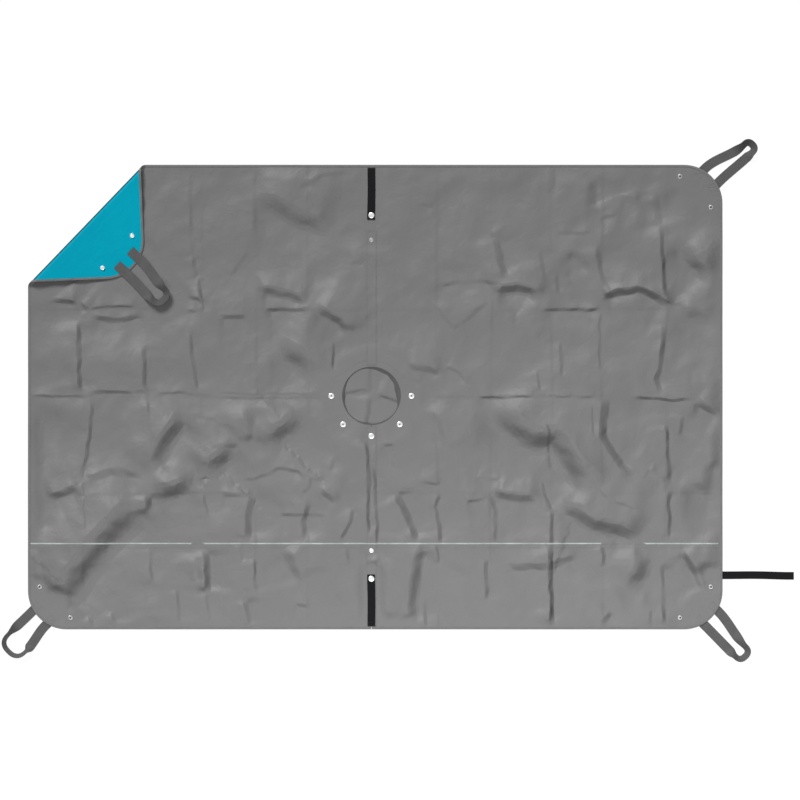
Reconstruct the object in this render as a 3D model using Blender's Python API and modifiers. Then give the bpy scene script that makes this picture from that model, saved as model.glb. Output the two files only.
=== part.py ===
"""A repotting mat, laid out flat with its back left corner turned over.

Metres, +Z up, +Y to the back. The origin is on the floor under the middle of the mat.
"""

import math

import bmesh
import bpy
from mathutils import Matrix, Quaternion, Vector

# The mat and its cloth
MAT_LENGTH = 1.800
MAT_DEPTH = 1.204
CORNER_RADIUS = 0.100
SHEET_THICKNESS = 0.0006
LAYER_GAP = 0.0003
HEM_WIDTH = 0.006
HEM_THICKNESS = 0.0005

# The slit, the hole for the trunk and the patch that closes it, each margin counted outwards
LINE_OFFSET = -0.010
SLIT_WIDTH = 0.0010
HOLE_RADIUS = 0.075
HOLE_OFFSET = 0.003
RING_MARGIN = 0.029
PATCH_MARGIN = 0.018
PATCH_SEAM_MARGIN = 0.017
PATCH_SLOPE = 0.010
BAND_WIDTH = 0.027
BAND_SETBACK = 0.005
BAND_CLEARANCE = 0.002
TAPE_MARGIN = 0.024

# The front strip's lap on the main panel, and the fold of the wall, just behind the corner studs
LAP_DEPTH = 0.020
LAP_INSET = 0.009
LAP_STEP = 0.006
SEAM_MARGIN = 0.019
WALL_MARGIN = 0.010

# The corner that is turned over
FOLD_RUN_BACK = 0.300
FOLD_RUN_LEFT = 0.312
BEND_RADIUS = 0.009
BEND_STEPS = 10
BEND_END_CUT = 0.004

# The press studs
CAP_RADIUS = 0.0076
CAP_HEIGHT = 0.0015
CAP_CROWN_SHARE = 0.55
CAP_RIM_SHARE = 0.40
NECK_RADIUS = 0.0026
FLANGE_RADIUS = 0.0056
FLANGE_HEIGHT = 0.0007
KNOB_RADIUS = 0.0016
KNOB_HEIGHT = 0.0020
SNAP_BACK_HEIGHT = 0.0012
SNAP_SIDES = 16
SNAP_EDGE_NEAR = 0.030
SNAP_EDGE_FAR = 0.110
RING_ANGLES = (180, 225, 270, 315, 360)

# The handles
WEB_WIDTH = 0.025
WEB_THICKNESS = 0.0015
LEG_SPACING = 0.050
SEWN_LENGTH = 0.038
HANDLE_REACH = 0.134
HANDLE_STANDOFF = 0.003
TWIST_START_SHARE = 0.62
TIP_ROUNDNESS = 0.78
LEG_STEPS = 10
TIP_STEPS = 10

# The brace straps, their reach past the strap's end to the stud on the centre line,
# and the strap that closes the rolled mat
STRAP_WIDTH = 0.020
STRAP_THICKNESS = 0.0012
STRAP_SETBACK = 0.008
BRACE_LENGTH = 0.134
BRACE_SNAP_SETBACK = 0.011
LINE_SNAP_REACH_BACK = 0.053
LINE_SNAP_REACH_FRONT = 0.062
CLOSING_LENGTH = 0.185
CLOSING_SEWN = 0.030
CLOSING_MARGIN = 0.020
CLOSING_WAVE = 0.0012
CLOSING_STEPS = 12

ARC_STEPS = 12
PATCH_ARCS = 3
HOLE_SIDES = 48
CUT_OVERRUN = 0.010
MERGE_DISTANCE = 0.00001

# Levels of the layers above the floor, from the lowest up
PATCH_DROP = SNAP_BACK_HEIGHT + LAYER_GAP
PATCH_LEVEL = PATCH_DROP + SHEET_THICKNESS / 2
KNOB_SEAT = PATCH_LEVEL + SHEET_THICKNESS / 2 + LAYER_GAP + FLANGE_HEIGHT
SOCKET_FACE = KNOB_SEAT + LAYER_GAP
LAYER_STEP = SHEET_THICKNESS + LAYER_GAP
PANEL_LEVEL = SOCKET_FACE + FLANGE_HEIGHT + LAYER_GAP + SHEET_THICKNESS / 2
STRIP_LEVEL = PANEL_LEVEL + LAYER_STEP
BAND_LEVEL = STRIP_LEVEL + LAYER_STEP
HEM_RISE = SHEET_THICKNESS / 2 + LAYER_GAP + HEM_THICKNESS / 2
WEB_DROP = HEM_RISE + HEM_THICKNESS / 2 + LAYER_GAP + WEB_THICKNESS / 2
STRAP_DROP = HEM_RISE + HEM_THICKNESS / 2 + LAYER_GAP + STRAP_THICKNESS / 2

# Lines across the mat, and sizes round the hole
HALF_LENGTH = MAT_LENGTH / 2
HALF_DEPTH = MAT_DEPTH / 2
EDGE_INSET = HEM_THICKNESS + LAYER_GAP
BRACE_END_Y = HALF_DEPTH - STRAP_SETBACK - BRACE_LENGTH
LINE_SNAP_BACK_Y = BRACE_END_Y - LINE_SNAP_REACH_BACK
LINE_SNAP_FRONT_Y = LINE_SNAP_REACH_FRONT - BRACE_END_Y
SEAM_Y = LINE_SNAP_FRONT_Y + SEAM_MARGIN
WALL_Y = SNAP_EDGE_FAR + WALL_MARGIN - HALF_DEPTH
RING_RADIUS = HOLE_RADIUS + RING_MARGIN
PATCH_RADIUS = RING_RADIUS + PATCH_MARGIN
PATCH_SEAM = HOLE_RADIUS + PATCH_SEAM_MARGIN
DIAGONAL = 1 / math.sqrt(2)

# By corner, a handle's reach as a share of HANDLE_REACH, its tip radius and its sideways
# lean as shares of half the leg spacing, and the angle at which the tip stands on edge
HANDLE_SHAPE_SHARES = {
    "back_right": (0.965, 0.58, -0.68),
    "front_right": (0.962, 0.72, -0.32),
    "front_left": (0.850, 1.26, 0.20),
    "back_left": (0.840, 0.84, -0.36),
}
HANDLE_BANKS = {"back_right": 68, "front_right": 66, "front_left": 72, "back_left": 60}
CORNER_SIGNS = {
    "back_right": (1, 1),
    "front_right": (1, -1),
    "front_left": (-1, -1),
    "back_left": (-1, 1),
}


def clear_scene():
    """Remove whatever the file opened with."""
    for item in list(bpy.data.objects):
        bpy.data.objects.remove(item, do_unlink=True)


def finish(name, colour, roughness, metallic=0.0):
    """A Principled material of one colour."""
    material = bpy.data.materials.new(name)
    material.use_nodes = True
    shader = material.node_tree.nodes["Principled BSDF"]
    shader.inputs["Base Color"].default_value = (*colour, 1.0)
    shader.inputs["Roughness"].default_value = roughness
    shader.inputs["Metallic"].default_value = metallic
    return material


def add(name, mesh, collection, materials, place=(0, 0, 0), carrier=None):
    """Link a mesh as a named object, at a place given on the flat mat."""
    for material in materials:
        mesh.materials.append(material)
    item = bpy.data.objects.new(name, mesh)
    item.location = place
    collection.objects.link(item)
    if carrier:
        item.parent = carrier
        item.location = Vector(place) - Vector(carrier["flat_place"])
    return item


def axis_empty(name, place, carrier=None):
    """An empty on a joint's axis, which its moving pieces are parented to."""
    empty = bpy.data.objects.new(name, None)
    empty["flat_place"] = place
    empty.location = place
    parts.objects.link(empty)
    if carrier:
        empty.parent = carrier
        empty.location = Vector(place) - Vector(carrier["flat_place"])
    return empty


def thicken(item, thickness, other_side=0):
    """Give an open surface its thickness, half to each side."""
    shell = item.modifiers.new("thickness", "SOLIDIFY")
    shell.thickness = thickness
    shell.offset = 0
    shell.use_even_offset = True
    shell.material_offset = other_side


def sheet(name, outline, level, carrier=None):
    """A flat piece of the mat's cloth, grey above and teal below."""
    mesh = bpy.data.meshes.new(name)
    shape = bmesh.new()
    corners = [shape.verts.new((x, y, 0)) for x, y in outline]
    face = shape.faces.new(corners)
    face.normal_update()
    if face.normal.z < 0:
        face.normal_flip()
    shape.to_mesh(mesh)
    shape.free()
    item = add(name, mesh, parts, [GREY_CLOTH, TEAL_CLOTH], (0, 0, level), carrier)
    thicken(item, SHEET_THICKNESS, other_side=1)
    return item


def swept(name, stations, section, thickness, material, carrier=None, place=(0, 0, 0)):
    """A strip whose open section is carried along stations of point, across and up."""
    mesh = bpy.data.meshes.new(name)
    shape = bmesh.new()
    rows = []
    for point, across, up in stations:
        spots = [point + across * a + up * b - Vector(place) for a, b in section]
        rows.append([shape.verts.new(spot) for spot in spots])
    for near, far in zip(rows, rows[1:]):
        for i in range(len(section) - 1):
            shape.faces.new((near[i], far[i], far[i + 1], near[i + 1]))
    shape.to_mesh(mesh)
    shape.free()
    item = add(name, mesh, parts, [material], place, carrier)
    thicken(item, thickness)
    return item


def ribbon(name, points, across, width, thickness, material, carrier=None, place=(0, 0, 0)):
    """A flat strap along points, lying level across its run."""
    up = Vector((0, 0, 1))
    stations = [(Vector(point), Vector(across), up) for point in points]
    edges = [(-width / 2, 0), (width / 2, 0)]
    return swept(name, stations, edges, thickness, material, carrier, place)


def turned(name, profile, place, material, carrier=None):
    """A solid of revolution, from a profile that runs down its outer side."""
    mesh = bpy.data.meshes.new(name)
    spots = [(radius, 0, height) for radius, height in profile]
    mesh.from_pydata(spots, [(i, i + 1) for i in range(len(spots) - 1)], [])
    item = add(name, mesh, parts, [material], place, carrier)
    screw = item.modifiers.new("turn", "SCREW")
    screw.steps = SNAP_SIDES
    screw.render_steps = SNAP_SIDES
    screw.use_merge_vertices = True
    screw.merge_threshold = MERGE_DISTANCE
    return item


def cutter(name, places, radius, carrier=None):
    """Upright round cutters that share one mesh."""
    mesh = bpy.data.meshes.new(name)
    shape = bmesh.new()
    sides = HOLE_SIDES if radius >= HOLE_RADIUS else SNAP_SIDES
    for x, y in places:
        bmesh.ops.create_cone(
            shape,
            cap_ends=True,
            segments=sides,
            radius1=radius,
            radius2=radius,
            depth=2 * CUT_OVERRUN,
            matrix=Matrix.Translation((x, y, 0)),
        )
    shape.to_mesh(mesh)
    shape.free()
    item = add(name, mesh, cutters, [], (0, 0, PANEL_LEVEL), carrier)
    item.hide_render = True
    item.display_type = "WIRE"
    return item


def slit_cutter(back, front):
    """A box as wide as the slit."""
    mesh = bpy.data.meshes.new("slit_cutter")
    shape = bmesh.new()
    size = (SLIT_WIDTH, back - front, 2 * CUT_OVERRUN)
    bmesh.ops.create_cube(shape, size=1.0, matrix=Matrix.Diagonal((*size, 1)))
    shape.to_mesh(mesh)
    shape.free()
    place = (LINE_OFFSET, (back + front) / 2, PANEL_LEVEL)
    item = add("slit_cutter", mesh, cutters, [], place)
    item.hide_render = True
    item.display_type = "WIRE"
    return item


def cut(item, tool):
    """Take a cutter out of a piece."""
    difference = item.modifiers.new(tool.name, "BOOLEAN")
    difference.operation = "DIFFERENCE"
    difference.object = tool


def arc(centre, radius, start, end):
    """Points on an arc, angles in degrees."""
    points = []
    for i in range(ARC_STEPS + 1):
        angle = math.radians(start + (end - start) * i / ARC_STEPS)
        points.append((centre[0] + radius * math.cos(angle), centre[1] + radius * math.sin(angle)))
    return points


def corner_arc(corner, start, inset=0.0):
    """A quarter turn round one of the mat's rounded corners."""
    sign_x, sign_y = CORNER_SIGNS[corner]
    centre = (sign_x * (HALF_LENGTH - CORNER_RADIUS), sign_y * (HALF_DEPTH - CORNER_RADIUS))
    return arc(centre, CORNER_RADIUS - inset, start, start - 90)


# The fold of the turned corner, worked out on the flat mat.
# INWARD points from the fold to the middle of the mat, and ALONG runs up the fold.
FOLD_DIRECTION = Vector((FOLD_RUN_BACK, FOLD_RUN_LEFT, 0)).normalized()
FOLD_INWARD = Vector((FOLD_DIRECTION.y, -FOLD_DIRECTION.x, 0))
FOLD_START = Vector((FOLD_RUN_BACK - HALF_LENGTH, HALF_DEPTH, 0)) + FOLD_INWARD * (
    BEND_RADIUS + SHEET_THICKNESS / 2
)


def fold_x(setback, y):
    """Where a line parallel to the fold, set back from it, meets a line of constant y."""
    run = setback - (y - FOLD_START.y) * FOLD_INWARD.y
    return FOLD_START.x + run / FOLD_INWARD.x


def fold_y(setback, x):
    """Where a line parallel to the fold, set back from it, meets a line of constant x."""
    run = setback - (x - FOLD_START.x) * FOLD_INWARD.x
    return FOLD_START.y + run / FOLD_INWARD.y


def flap_sag():
    """The angle past half a turn at which the flap's tip comes to rest on the mat."""
    corner = Vector((-HALF_LENGTH, HALF_DEPTH, 0)) - FOLD_START
    rounding = CORNER_RADIUS * (math.sqrt(2) - 1)
    reach = -corner.dot(FOLD_INWARD) - rounding - math.pi * BEND_RADIUS
    rest = SHEET_THICKNESS + HEM_RISE + HEM_THICKNESS / 2
    return math.asin((2 * BEND_RADIUS - rest) / reach)


SAG = flap_sag()
BEND_ANGLE = math.pi + SAG
BEND_LENGTH = BEND_RADIUS * BEND_ANGLE


def fold_axis_place():
    """The point, square to the fold, that the flap turns about between flat and folded."""
    turn = complex(math.cos(BEND_ANGLE), -math.sin(BEND_ANGLE))
    landed = complex(BEND_RADIUS * math.sin(SAG), BEND_RADIUS * (1 + math.cos(SAG)))
    centre = (landed + turn * BEND_LENGTH) / (1 - turn)
    middle = FOLD_START - FOLD_DIRECTION * (FOLD_RUN_BACK / FOLD_DIRECTION.x) / 2
    return middle + FOLD_INWARD * centre.real + Vector((0, 0, PANEL_LEVEL + centre.imag))


def cap_half(face):
    """A press stud's domed cap, standing on the cloth's upper face."""
    foot = face + LAYER_GAP
    return [
        (0, foot + CAP_HEIGHT),
        (CAP_RADIUS * CAP_CROWN_SHARE, foot + CAP_HEIGHT),
        (CAP_RADIUS, foot + CAP_HEIGHT * CAP_RIM_SHARE),
        (CAP_RADIUS, foot),
        (NECK_RADIUS, foot),
    ]


def knob_half_up(face):
    """A press stud's knob on its flange, standing on the cloth's upper face."""
    foot = face + LAYER_GAP
    return [
        (0, foot + FLANGE_HEIGHT + KNOB_HEIGHT),
        (KNOB_RADIUS, foot + FLANGE_HEIGHT + KNOB_HEIGHT),
        (KNOB_RADIUS, foot + FLANGE_HEIGHT),
        (FLANGE_RADIUS, foot + FLANGE_HEIGHT),
        (FLANGE_RADIUS, foot),
        (NECK_RADIUS, foot),
    ]


def socket_half(face, end):
    """A press stud's socket under the cloth, open below."""
    bore = KNOB_RADIUS + LAYER_GAP
    roof = end + KNOB_HEIGHT
    return [
        (NECK_RADIUS, face - LAYER_GAP),
        (FLANGE_RADIUS, face - LAYER_GAP),
        (FLANGE_RADIUS, end),
        (bore, end),
        (bore, roof),
        (0, roof),
    ]


def knob_half_down(face, end):
    """A press stud's flange and knob under the cloth, pointing down."""
    shoulder = end + KNOB_HEIGHT
    return [
        (NECK_RADIUS, face - LAYER_GAP),
        (FLANGE_RADIUS, face - LAYER_GAP),
        (FLANGE_RADIUS, shoulder),
        (KNOB_RADIUS, shoulder),
        (KNOB_RADIUS, end),
        (0, end),
    ]


def plain_half(face, height, radius):
    """A press stud's plain back under the cloth."""
    return [
        (NECK_RADIUS, face - LAYER_GAP),
        (radius, face - LAYER_GAP),
        (radius, face - LAYER_GAP - height),
        (0, face - LAYER_GAP - height),
    ]


def snap_places(corner):
    """The two press studs of a corner, each near one edge."""
    sign_x, sign_y = CORNER_SIGNS[corner]
    offsets = {"end": (SNAP_EDGE_NEAR, SNAP_EDGE_FAR), "side": (SNAP_EDGE_FAR, SNAP_EDGE_NEAR)}
    return {
        edge: (sign_x * (HALF_LENGTH - dx), sign_y * (HALF_DEPTH - dy))
        for edge, (dx, dy) in offsets.items()
    }


def ring_places():
    """The press studs round the hole, on its front half."""
    return [
        (
            LINE_OFFSET + RING_RADIUS * math.cos(math.radians(angle)),
            HOLE_OFFSET + RING_RADIUS * math.sin(math.radians(angle)),
        )
        for angle in RING_ANGLES
    ]


def corner_snaps(corner, level, carrier=None):
    """A corner's press studs: a socket near the end edge and a knob near the side edge."""
    top = SHEET_THICKNESS / 2
    for edge, (x, y) in snap_places(corner).items():
        half = socket_half if edge == "end" else knob_half_down
        profile = cap_half(top) + half(-top, -level)
        turned(f"corner_snap_{corner}_{edge}", profile, (x, y, level), SILVER, carrier)


def main_panel():
    """The big sheet, with its back left corner missing where it bends over."""
    half_x, half_y = HALF_LENGTH - EDGE_INSET, HALF_DEPTH - EDGE_INSET
    lap_x, lap_y = HALF_LENGTH - LAP_INSET, SEAM_Y + LAP_INSET
    outline = [(fold_x(LAYER_GAP, half_y), half_y)]
    outline += corner_arc("back_right", 90, EDGE_INSET)
    outline += [
        (half_x, lap_y),
        (lap_x, lap_y),
        (lap_x, SEAM_Y - LAP_DEPTH),
        (-lap_x, SEAM_Y - LAP_DEPTH),
        (-lap_x, lap_y),
        (-half_x, lap_y),
        (-half_x, fold_y(LAYER_GAP, -half_x)),
    ]
    panel = sheet("main_panel", outline, PANEL_LEVEL)
    ring = ring_places()
    middle = ring.pop(len(ring) // 2)
    small = ring + list(snap_places("back_right").values()) + [(LINE_OFFSET, LINE_SNAP_BACK_Y)]
    cut(panel, slit_cutter(HOLE_OFFSET, SEAM_Y - LAP_DEPTH - CUT_OVERRUN))
    cut(panel, cutter("trunk_hole_cutter", [(LINE_OFFSET, HOLE_OFFSET)], HOLE_RADIUS))
    cut(panel, cutter("panel_snap_cutter", small, NECK_RADIUS + LAYER_GAP))
    cut(panel, cutter("band_snap_cutter", [middle], FLANGE_RADIUS + LAYER_GAP))


def front_cloth(side, carrier):
    """One side of the front strip, and the part of it that folds up as a wall."""
    sign = -1 if side == "left" else 1
    edge = sign * (HALF_LENGTH - EDGE_INSET)
    slit = LINE_OFFSET + sign * SLIT_WIDTH / 2
    strip = [
        (edge, SEAM_Y),
        (slit, SEAM_Y),
        (slit, WALL_Y + LAYER_GAP),
        (edge, WALL_Y + LAYER_GAP),
    ]
    item = sheet(f"front_strip_{side}", strip, STRIP_LEVEL)
    snap = [(LINE_OFFSET, LINE_SNAP_FRONT_Y)]
    cut(item, cutter(f"strip_snap_cutter_{side}", snap, FLANGE_RADIUS + LAYER_GAP))
    corner = f"front_{side}"
    rounding = corner_arc(corner, -90 if side == "left" else 0, EDGE_INSET)
    bottom = [(slit, EDGE_INSET - HALF_DEPTH)]
    top = [(edge, WALL_Y - LAYER_GAP), (slit, WALL_Y - LAYER_GAP)]
    if side == "right":
        rounding.reverse()
    wall = sheet(f"front_wall_{side}", top + bottom + rounding, STRIP_LEVEL, carrier)
    studs = list(snap_places(corner).values())
    cut(wall, cutter(f"wall_snap_cutter_{side}", studs, NECK_RADIUS + LAYER_GAP, carrier))


def corner_bend():
    """The cloth that rolls over between the main panel and the turned corner."""
    half_x, half_y = HALF_LENGTH - BEND_END_CUT, HALF_DEPTH - BEND_END_CUT
    stations = []
    for i in range(BEND_STEPS + 1):
        run = LAYER_GAP + (BEND_LENGTH - 2 * LAYER_GAP) * i / BEND_STEPS
        back = Vector((fold_x(-run, half_y), half_y, 0)) - FOLD_START
        left = Vector((-half_x, fold_y(-run, -half_x), 0)) - FOLD_START
        angle = run / BEND_RADIUS
        bent = FOLD_INWARD * -math.sin(angle) * BEND_RADIUS
        height = PANEL_LEVEL + BEND_RADIUS * (1 - math.cos(angle))
        ends = (left.dot(FOLD_DIRECTION), back.dot(FOLD_DIRECTION))
        middle = FOLD_START + bent + FOLD_DIRECTION * sum(ends) / 2
        half = FOLD_DIRECTION * (ends[1] - ends[0]) / 2
        stations.append((Vector((middle.x, middle.y, height)), half, Vector((0, 0, 1))))
    item = swept("corner_bend", stations, [(-1, 0), (1, 0)], SHEET_THICKNESS, GREY_CLOTH)
    item.data.materials.append(TEAL_CLOTH)
    item.modifiers["thickness"].material_offset = 1


def corner_flap(carrier):
    """The turned corner, drawn flat and carried over by its axis."""
    half_x, half_y = HALF_LENGTH - EDGE_INSET, HALF_DEPTH - EDGE_INSET
    setback = -BEND_LENGTH - LAYER_GAP
    outline = [(-half_x, fold_y(setback, -half_x))]
    outline += corner_arc("back_left", 180, EDGE_INSET)
    outline += [(fold_x(setback, half_y), half_y)]
    flap = sheet("corner_flap", outline, PANEL_LEVEL, carrier)
    studs = list(snap_places("back_left").values())
    cut(flap, cutter("flap_snap_cutter", studs, NECK_RADIUS + LAYER_GAP, carrier))
    corner_snaps("back_left", PANEL_LEVEL, carrier)


def hem(name, run, carrier=None):
    """A binding folded round the cloth's edge, along points of x, y, level and facing."""
    stations = []
    for x, y, level, facing in run:
        outward = Vector((math.cos(math.radians(facing)), math.sin(math.radians(facing)), 0))
        stations.append((Vector((x, y, level)), outward, Vector((0, 0, 1))))
    outer = -HEM_THICKNESS / 2
    section = [(-HEM_WIDTH, HEM_RISE), (outer, HEM_RISE), (outer, -HEM_RISE), (-HEM_WIDTH, -HEM_RISE)]
    swept(name, stations, section, HEM_THICKNESS, HEM_TAPE, carrier)


def hem_corner(corner, start, level):
    """The hem's points round a corner, from a facing in degrees, clockwise."""
    points = corner_arc(corner, start)
    turns = [start - 90 * i / ARC_STEPS for i in range(ARC_STEPS + 1)]
    return [(x, y, level, turn) for (x, y), turn in zip(points, turns)]


def hems(flap_axis, wall_axis):
    """The binding round the mat, in the pieces that its folds part."""
    step = [(SEAM_Y + LAP_INSET, PANEL_LEVEL), (SEAM_Y + LAP_INSET - LAP_STEP, STRIP_LEVEL)]
    start_x = fold_x(HEM_WIDTH, HALF_DEPTH)
    start_y = fold_y(HEM_WIDTH, -HALF_LENGTH)
    ends = step + [(WALL_Y + LAYER_GAP, STRIP_LEVEL)]
    right = [(HALF_LENGTH, y, level, 0) for y, level in ends]
    left = [(-HALF_LENGTH, y, level, 180) for y, level in reversed(ends)]
    back = [(start_x, HALF_DEPTH, PANEL_LEVEL, 90)]
    hem("hem_back_right", back + hem_corner("back_right", 90, PANEL_LEVEL) + right)
    hem("hem_left", left + [(-HALF_LENGTH, start_y, PANEL_LEVEL, 180)])
    wall_end = WALL_Y - LAYER_GAP
    slit_left, slit_right = LINE_OFFSET - SLIT_WIDTH / 2, LINE_OFFSET + SLIT_WIDTH / 2
    right = [(HALF_LENGTH, wall_end, STRIP_LEVEL, 0)] + hem_corner("front_right", 0, STRIP_LEVEL)
    left = hem_corner("front_left", -90, STRIP_LEVEL) + [(-HALF_LENGTH, wall_end, STRIP_LEVEL, 180)]
    hem("hem_wall_right", right + [(slit_right, -HALF_DEPTH, STRIP_LEVEL, -90)], wall_axis)
    hem("hem_wall_left", [(slit_left, -HALF_DEPTH, STRIP_LEVEL, -90)] + left, wall_axis)
    setback = -BEND_LENGTH - HEM_WIDTH
    first = [(-HALF_LENGTH, fold_y(setback, -HALF_LENGTH), PANEL_LEVEL, 180)]
    last = [(fold_x(setback, HALF_DEPTH), HALF_DEPTH, PANEL_LEVEL, 90)]
    hem("hem_flap", first + hem_corner("back_left", 180, PANEL_LEVEL) + last, flap_axis)


def bands(wall_axis):
    """The tape on the back half of the centre line, and the band that covers the slit."""
    across = (1, 0, 0)
    back_end = HOLE_OFFSET + HOLE_RADIUS + BAND_SETBACK
    level = PANEL_LEVEL + LAYER_STEP
    line = [(LINE_OFFSET, y, level) for y in (back_end, LINE_SNAP_BACK_Y + TAPE_MARGIN)]
    tape = ribbon("back_seam_tape", line, across, BAND_WIDTH, SHEET_THICKNESS, GREY_CLOTH)
    stud = [(LINE_OFFSET, LINE_SNAP_BACK_Y)]
    cut(tape, cutter("tape_snap_cutter", stud, NECK_RADIUS + LAYER_GAP))
    rise = SEAM_Y + BAND_CLEARANCE
    run = [
        (HOLE_OFFSET - HOLE_RADIUS - BAND_SETBACK, level),
        (rise + LAP_STEP, level),
        (rise, BAND_LEVEL),
        (WALL_Y + LAYER_GAP, BAND_LEVEL),
    ]
    line = [(LINE_OFFSET, y, height) for y, height in run]
    band = ribbon("slit_band", line, across, BAND_WIDTH, SHEET_THICKNESS, GREY_CLOTH)
    ring = ring_places()
    studs = [ring[len(ring) // 2], (LINE_OFFSET, LINE_SNAP_FRONT_Y)]
    cut(band, cutter("slit_band_snap_cutter", studs, NECK_RADIUS + LAYER_GAP))
    front = HEM_WIDTH + LAYER_GAP - HALF_DEPTH
    line = [(LINE_OFFSET, y, BAND_LEVEL) for y in (WALL_Y - LAYER_GAP, front)]
    ribbon("slit_band_wall", line, across, BAND_WIDTH, SHEET_THICKNESS, GREY_CLOTH, wall_axis)


def ring_snaps(patch_axis):
    """The press studs that hold the patch: sockets on the mat, knobs on the patch."""
    places = ring_places()
    for number, (x, y) in enumerate(places, 1):
        on_band = number == len(places) // 2 + 1
        level = PANEL_LEVEL + (LAYER_STEP if on_band else 0)
        top = SHEET_THICKNESS / 2
        socket = cap_half(top) + socket_half(-top, SOCKET_FACE - level)
        turned(f"ring_socket_{number}", socket, (x, y, level), SILVER)
        knob = knob_half_up(top) + plain_half(-top, SNAP_BACK_HEIGHT, CAP_RADIUS)
        turned(f"ring_knob_{number}", knob, (x, y, PATCH_LEVEL), SILVER, patch_axis)


def line_snaps():
    """The knobs on the centre line that the brace straps clip to."""
    top = SHEET_THICKNESS / 2
    back = knob_half_up(top) + plain_half(-top - LAYER_STEP, FLANGE_HEIGHT, FLANGE_RADIUS)
    place = (LINE_OFFSET, LINE_SNAP_BACK_Y, PANEL_LEVEL + LAYER_STEP)
    turned("line_knob_back", back, place, SILVER)
    front = knob_half_up(top) + plain_half(-top, SHEET_THICKNESS, FLANGE_RADIUS)
    place = (LINE_OFFSET, LINE_SNAP_FRONT_Y, BAND_LEVEL)
    turned("line_knob_front", front, place, SILVER)


def drop_middle(mesh, centre):
    """Let a flat outline's middle sink on a short slope, to lie on the floor."""
    shape = bmesh.new()
    shape.from_mesh(mesh)
    edges = list(shape.edges)
    bmesh.ops.delete(shape, geom=list(shape.faces), context="FACES_ONLY")
    for radius, drop in ((HOLE_RADIUS + PATCH_SLOPE, 0), (HOLE_RADIUS, PATCH_DROP)):
        ring = {"segments": HOLE_SIDES, "radius": radius, "cap_ends": drop > 0}
        place = Matrix.Translation((*centre, -drop))
        circle = bmesh.ops.create_circle(shape, matrix=place, **ring)
        inner = list({edge for corner in circle["verts"] for edge in corner.link_edges})
        bmesh.ops.bridge_loops(shape, edges=edges + inner)
        edges = inner
    for face in shape.faces:
        face.normal_update()
        if face.normal.z < 0:
            face.normal_flip()
    shape.to_mesh(mesh)
    shape.free()


def hole_patch(carrier):
    """The round patch under the hole, straight where it is sewn behind the hole.

    Its rim hangs from the studs, and its middle lies on the floor.
    """
    centre = (LINE_OFFSET, HOLE_OFFSET)
    start = math.degrees(math.asin(PATCH_SEAM / PATCH_RADIUS))
    span = (180 + 2 * start) / PATCH_ARCS
    outline = arc(centre, PATCH_RADIUS, start, start - span)
    for i in range(1, PATCH_ARCS):
        outline += arc(centre, PATCH_RADIUS, start - span * i, start - span * (i + 1))[1:]
    patch = sheet("hole_patch", outline, PATCH_LEVEL, carrier)
    drop_middle(patch.data, centre)
    cut(patch, cutter("patch_snap_cutter", ring_places(), NECK_RADIUS + LAYER_GAP, carrier))


def loop_stations(reach, tip_radius, lean, bank, leg_drop, tip_floor, root_gap):
    """A handle's run out along one leg, round the tip and back, in its own frame.

    Its x axis points away from the mat, and its origin is on the joint's axis.
    """
    run = []
    legs = []
    for sign in (-1, 1):
        root = Vector((root_gap, sign * LEG_SPACING / 2))
        end = Vector((reach - tip_radius, lean + sign * tip_radius))
        leg = []
        for i in range(LEG_STEPS + 1):
            share = i / LEG_STEPS
            ease = share * share * (3 - 2 * share)
            spot = Vector((root.x + (end.x - root.x) * share, root.y + (end.y - root.y) * ease))
            twist = max(0.0, (share - TWIST_START_SHARE) / (1 - TWIST_START_SHARE))
            leg.append((spot, twist * twist * (3 - 2 * twist)))
        legs.append(leg)
    run += legs[0]
    centre = Vector((reach - tip_radius, lean))
    for i in range(1, TIP_STEPS):
        angle = math.pi * (i / TIP_STEPS - 1 / 2)
        ahead = math.cos(angle) ** TIP_ROUNDNESS
        aside = math.copysign(abs(math.sin(angle)) ** TIP_ROUNDNESS, angle)
        run.append((centre + tip_radius * Vector((ahead, aside)), 1.0))
    run += reversed(legs[1])
    stations = []
    for i, (spot, twist) in enumerate(run):
        if 0 < i < len(run) - 1:
            ahead = run[i + 1][0] - run[i - 1][0]
        else:
            ahead = Vector((-1 if i else 1, 0))
        side = Vector((ahead.y, -ahead.x, 0)).normalized()
        angle = math.radians(bank) * twist
        across = side * math.cos(angle) + Vector((0, 0, math.sin(angle)))
        low = leg_drop + WEB_THICKNESS / 2
        bottom = -low + (low + tip_floor) * twist
        height = bottom + WEB_WIDTH / 2 * math.sin(angle) + WEB_THICKNESS / 2 * math.cos(angle)
        stations.append((Vector((spot.x, spot.y, height)), across, Vector((0, 0, 1))))
    return stations


def handle_seat(corner):
    """The middle of a handle's hinge line on the flat mat, and its outward direction."""
    sign_x, sign_y = CORNER_SIGNS[corner]
    outward = Vector((sign_x, sign_y, 0)) * DIAGONAL
    square = Vector((sign_x * HALF_LENGTH, sign_y * HALF_DEPTH, 0))
    rounding = CORNER_RADIUS * (math.sqrt(2) - 1)
    return square + outward * (HANDLE_STANDOFF - rounding), outward


def handle_ends(corner, level, carrier=None):
    """The handle's two ends, sewn flat under the corner."""
    seat, outward = handle_seat(corner)
    side = Vector((-outward.y, outward.x, 0))
    drop = Vector((0, 0, level - WEB_DROP))
    for name, sign in (("right", -1), ("left", 1)):
        start = seat + side * sign * LEG_SPACING / 2 + drop
        line = [start, start - outward * SEWN_LENGTH]
        ribbon(f"handle_end_{corner}_{name}", line, side, WEB_WIDTH, WEB_THICKNESS, WEBBING, carrier)


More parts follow.
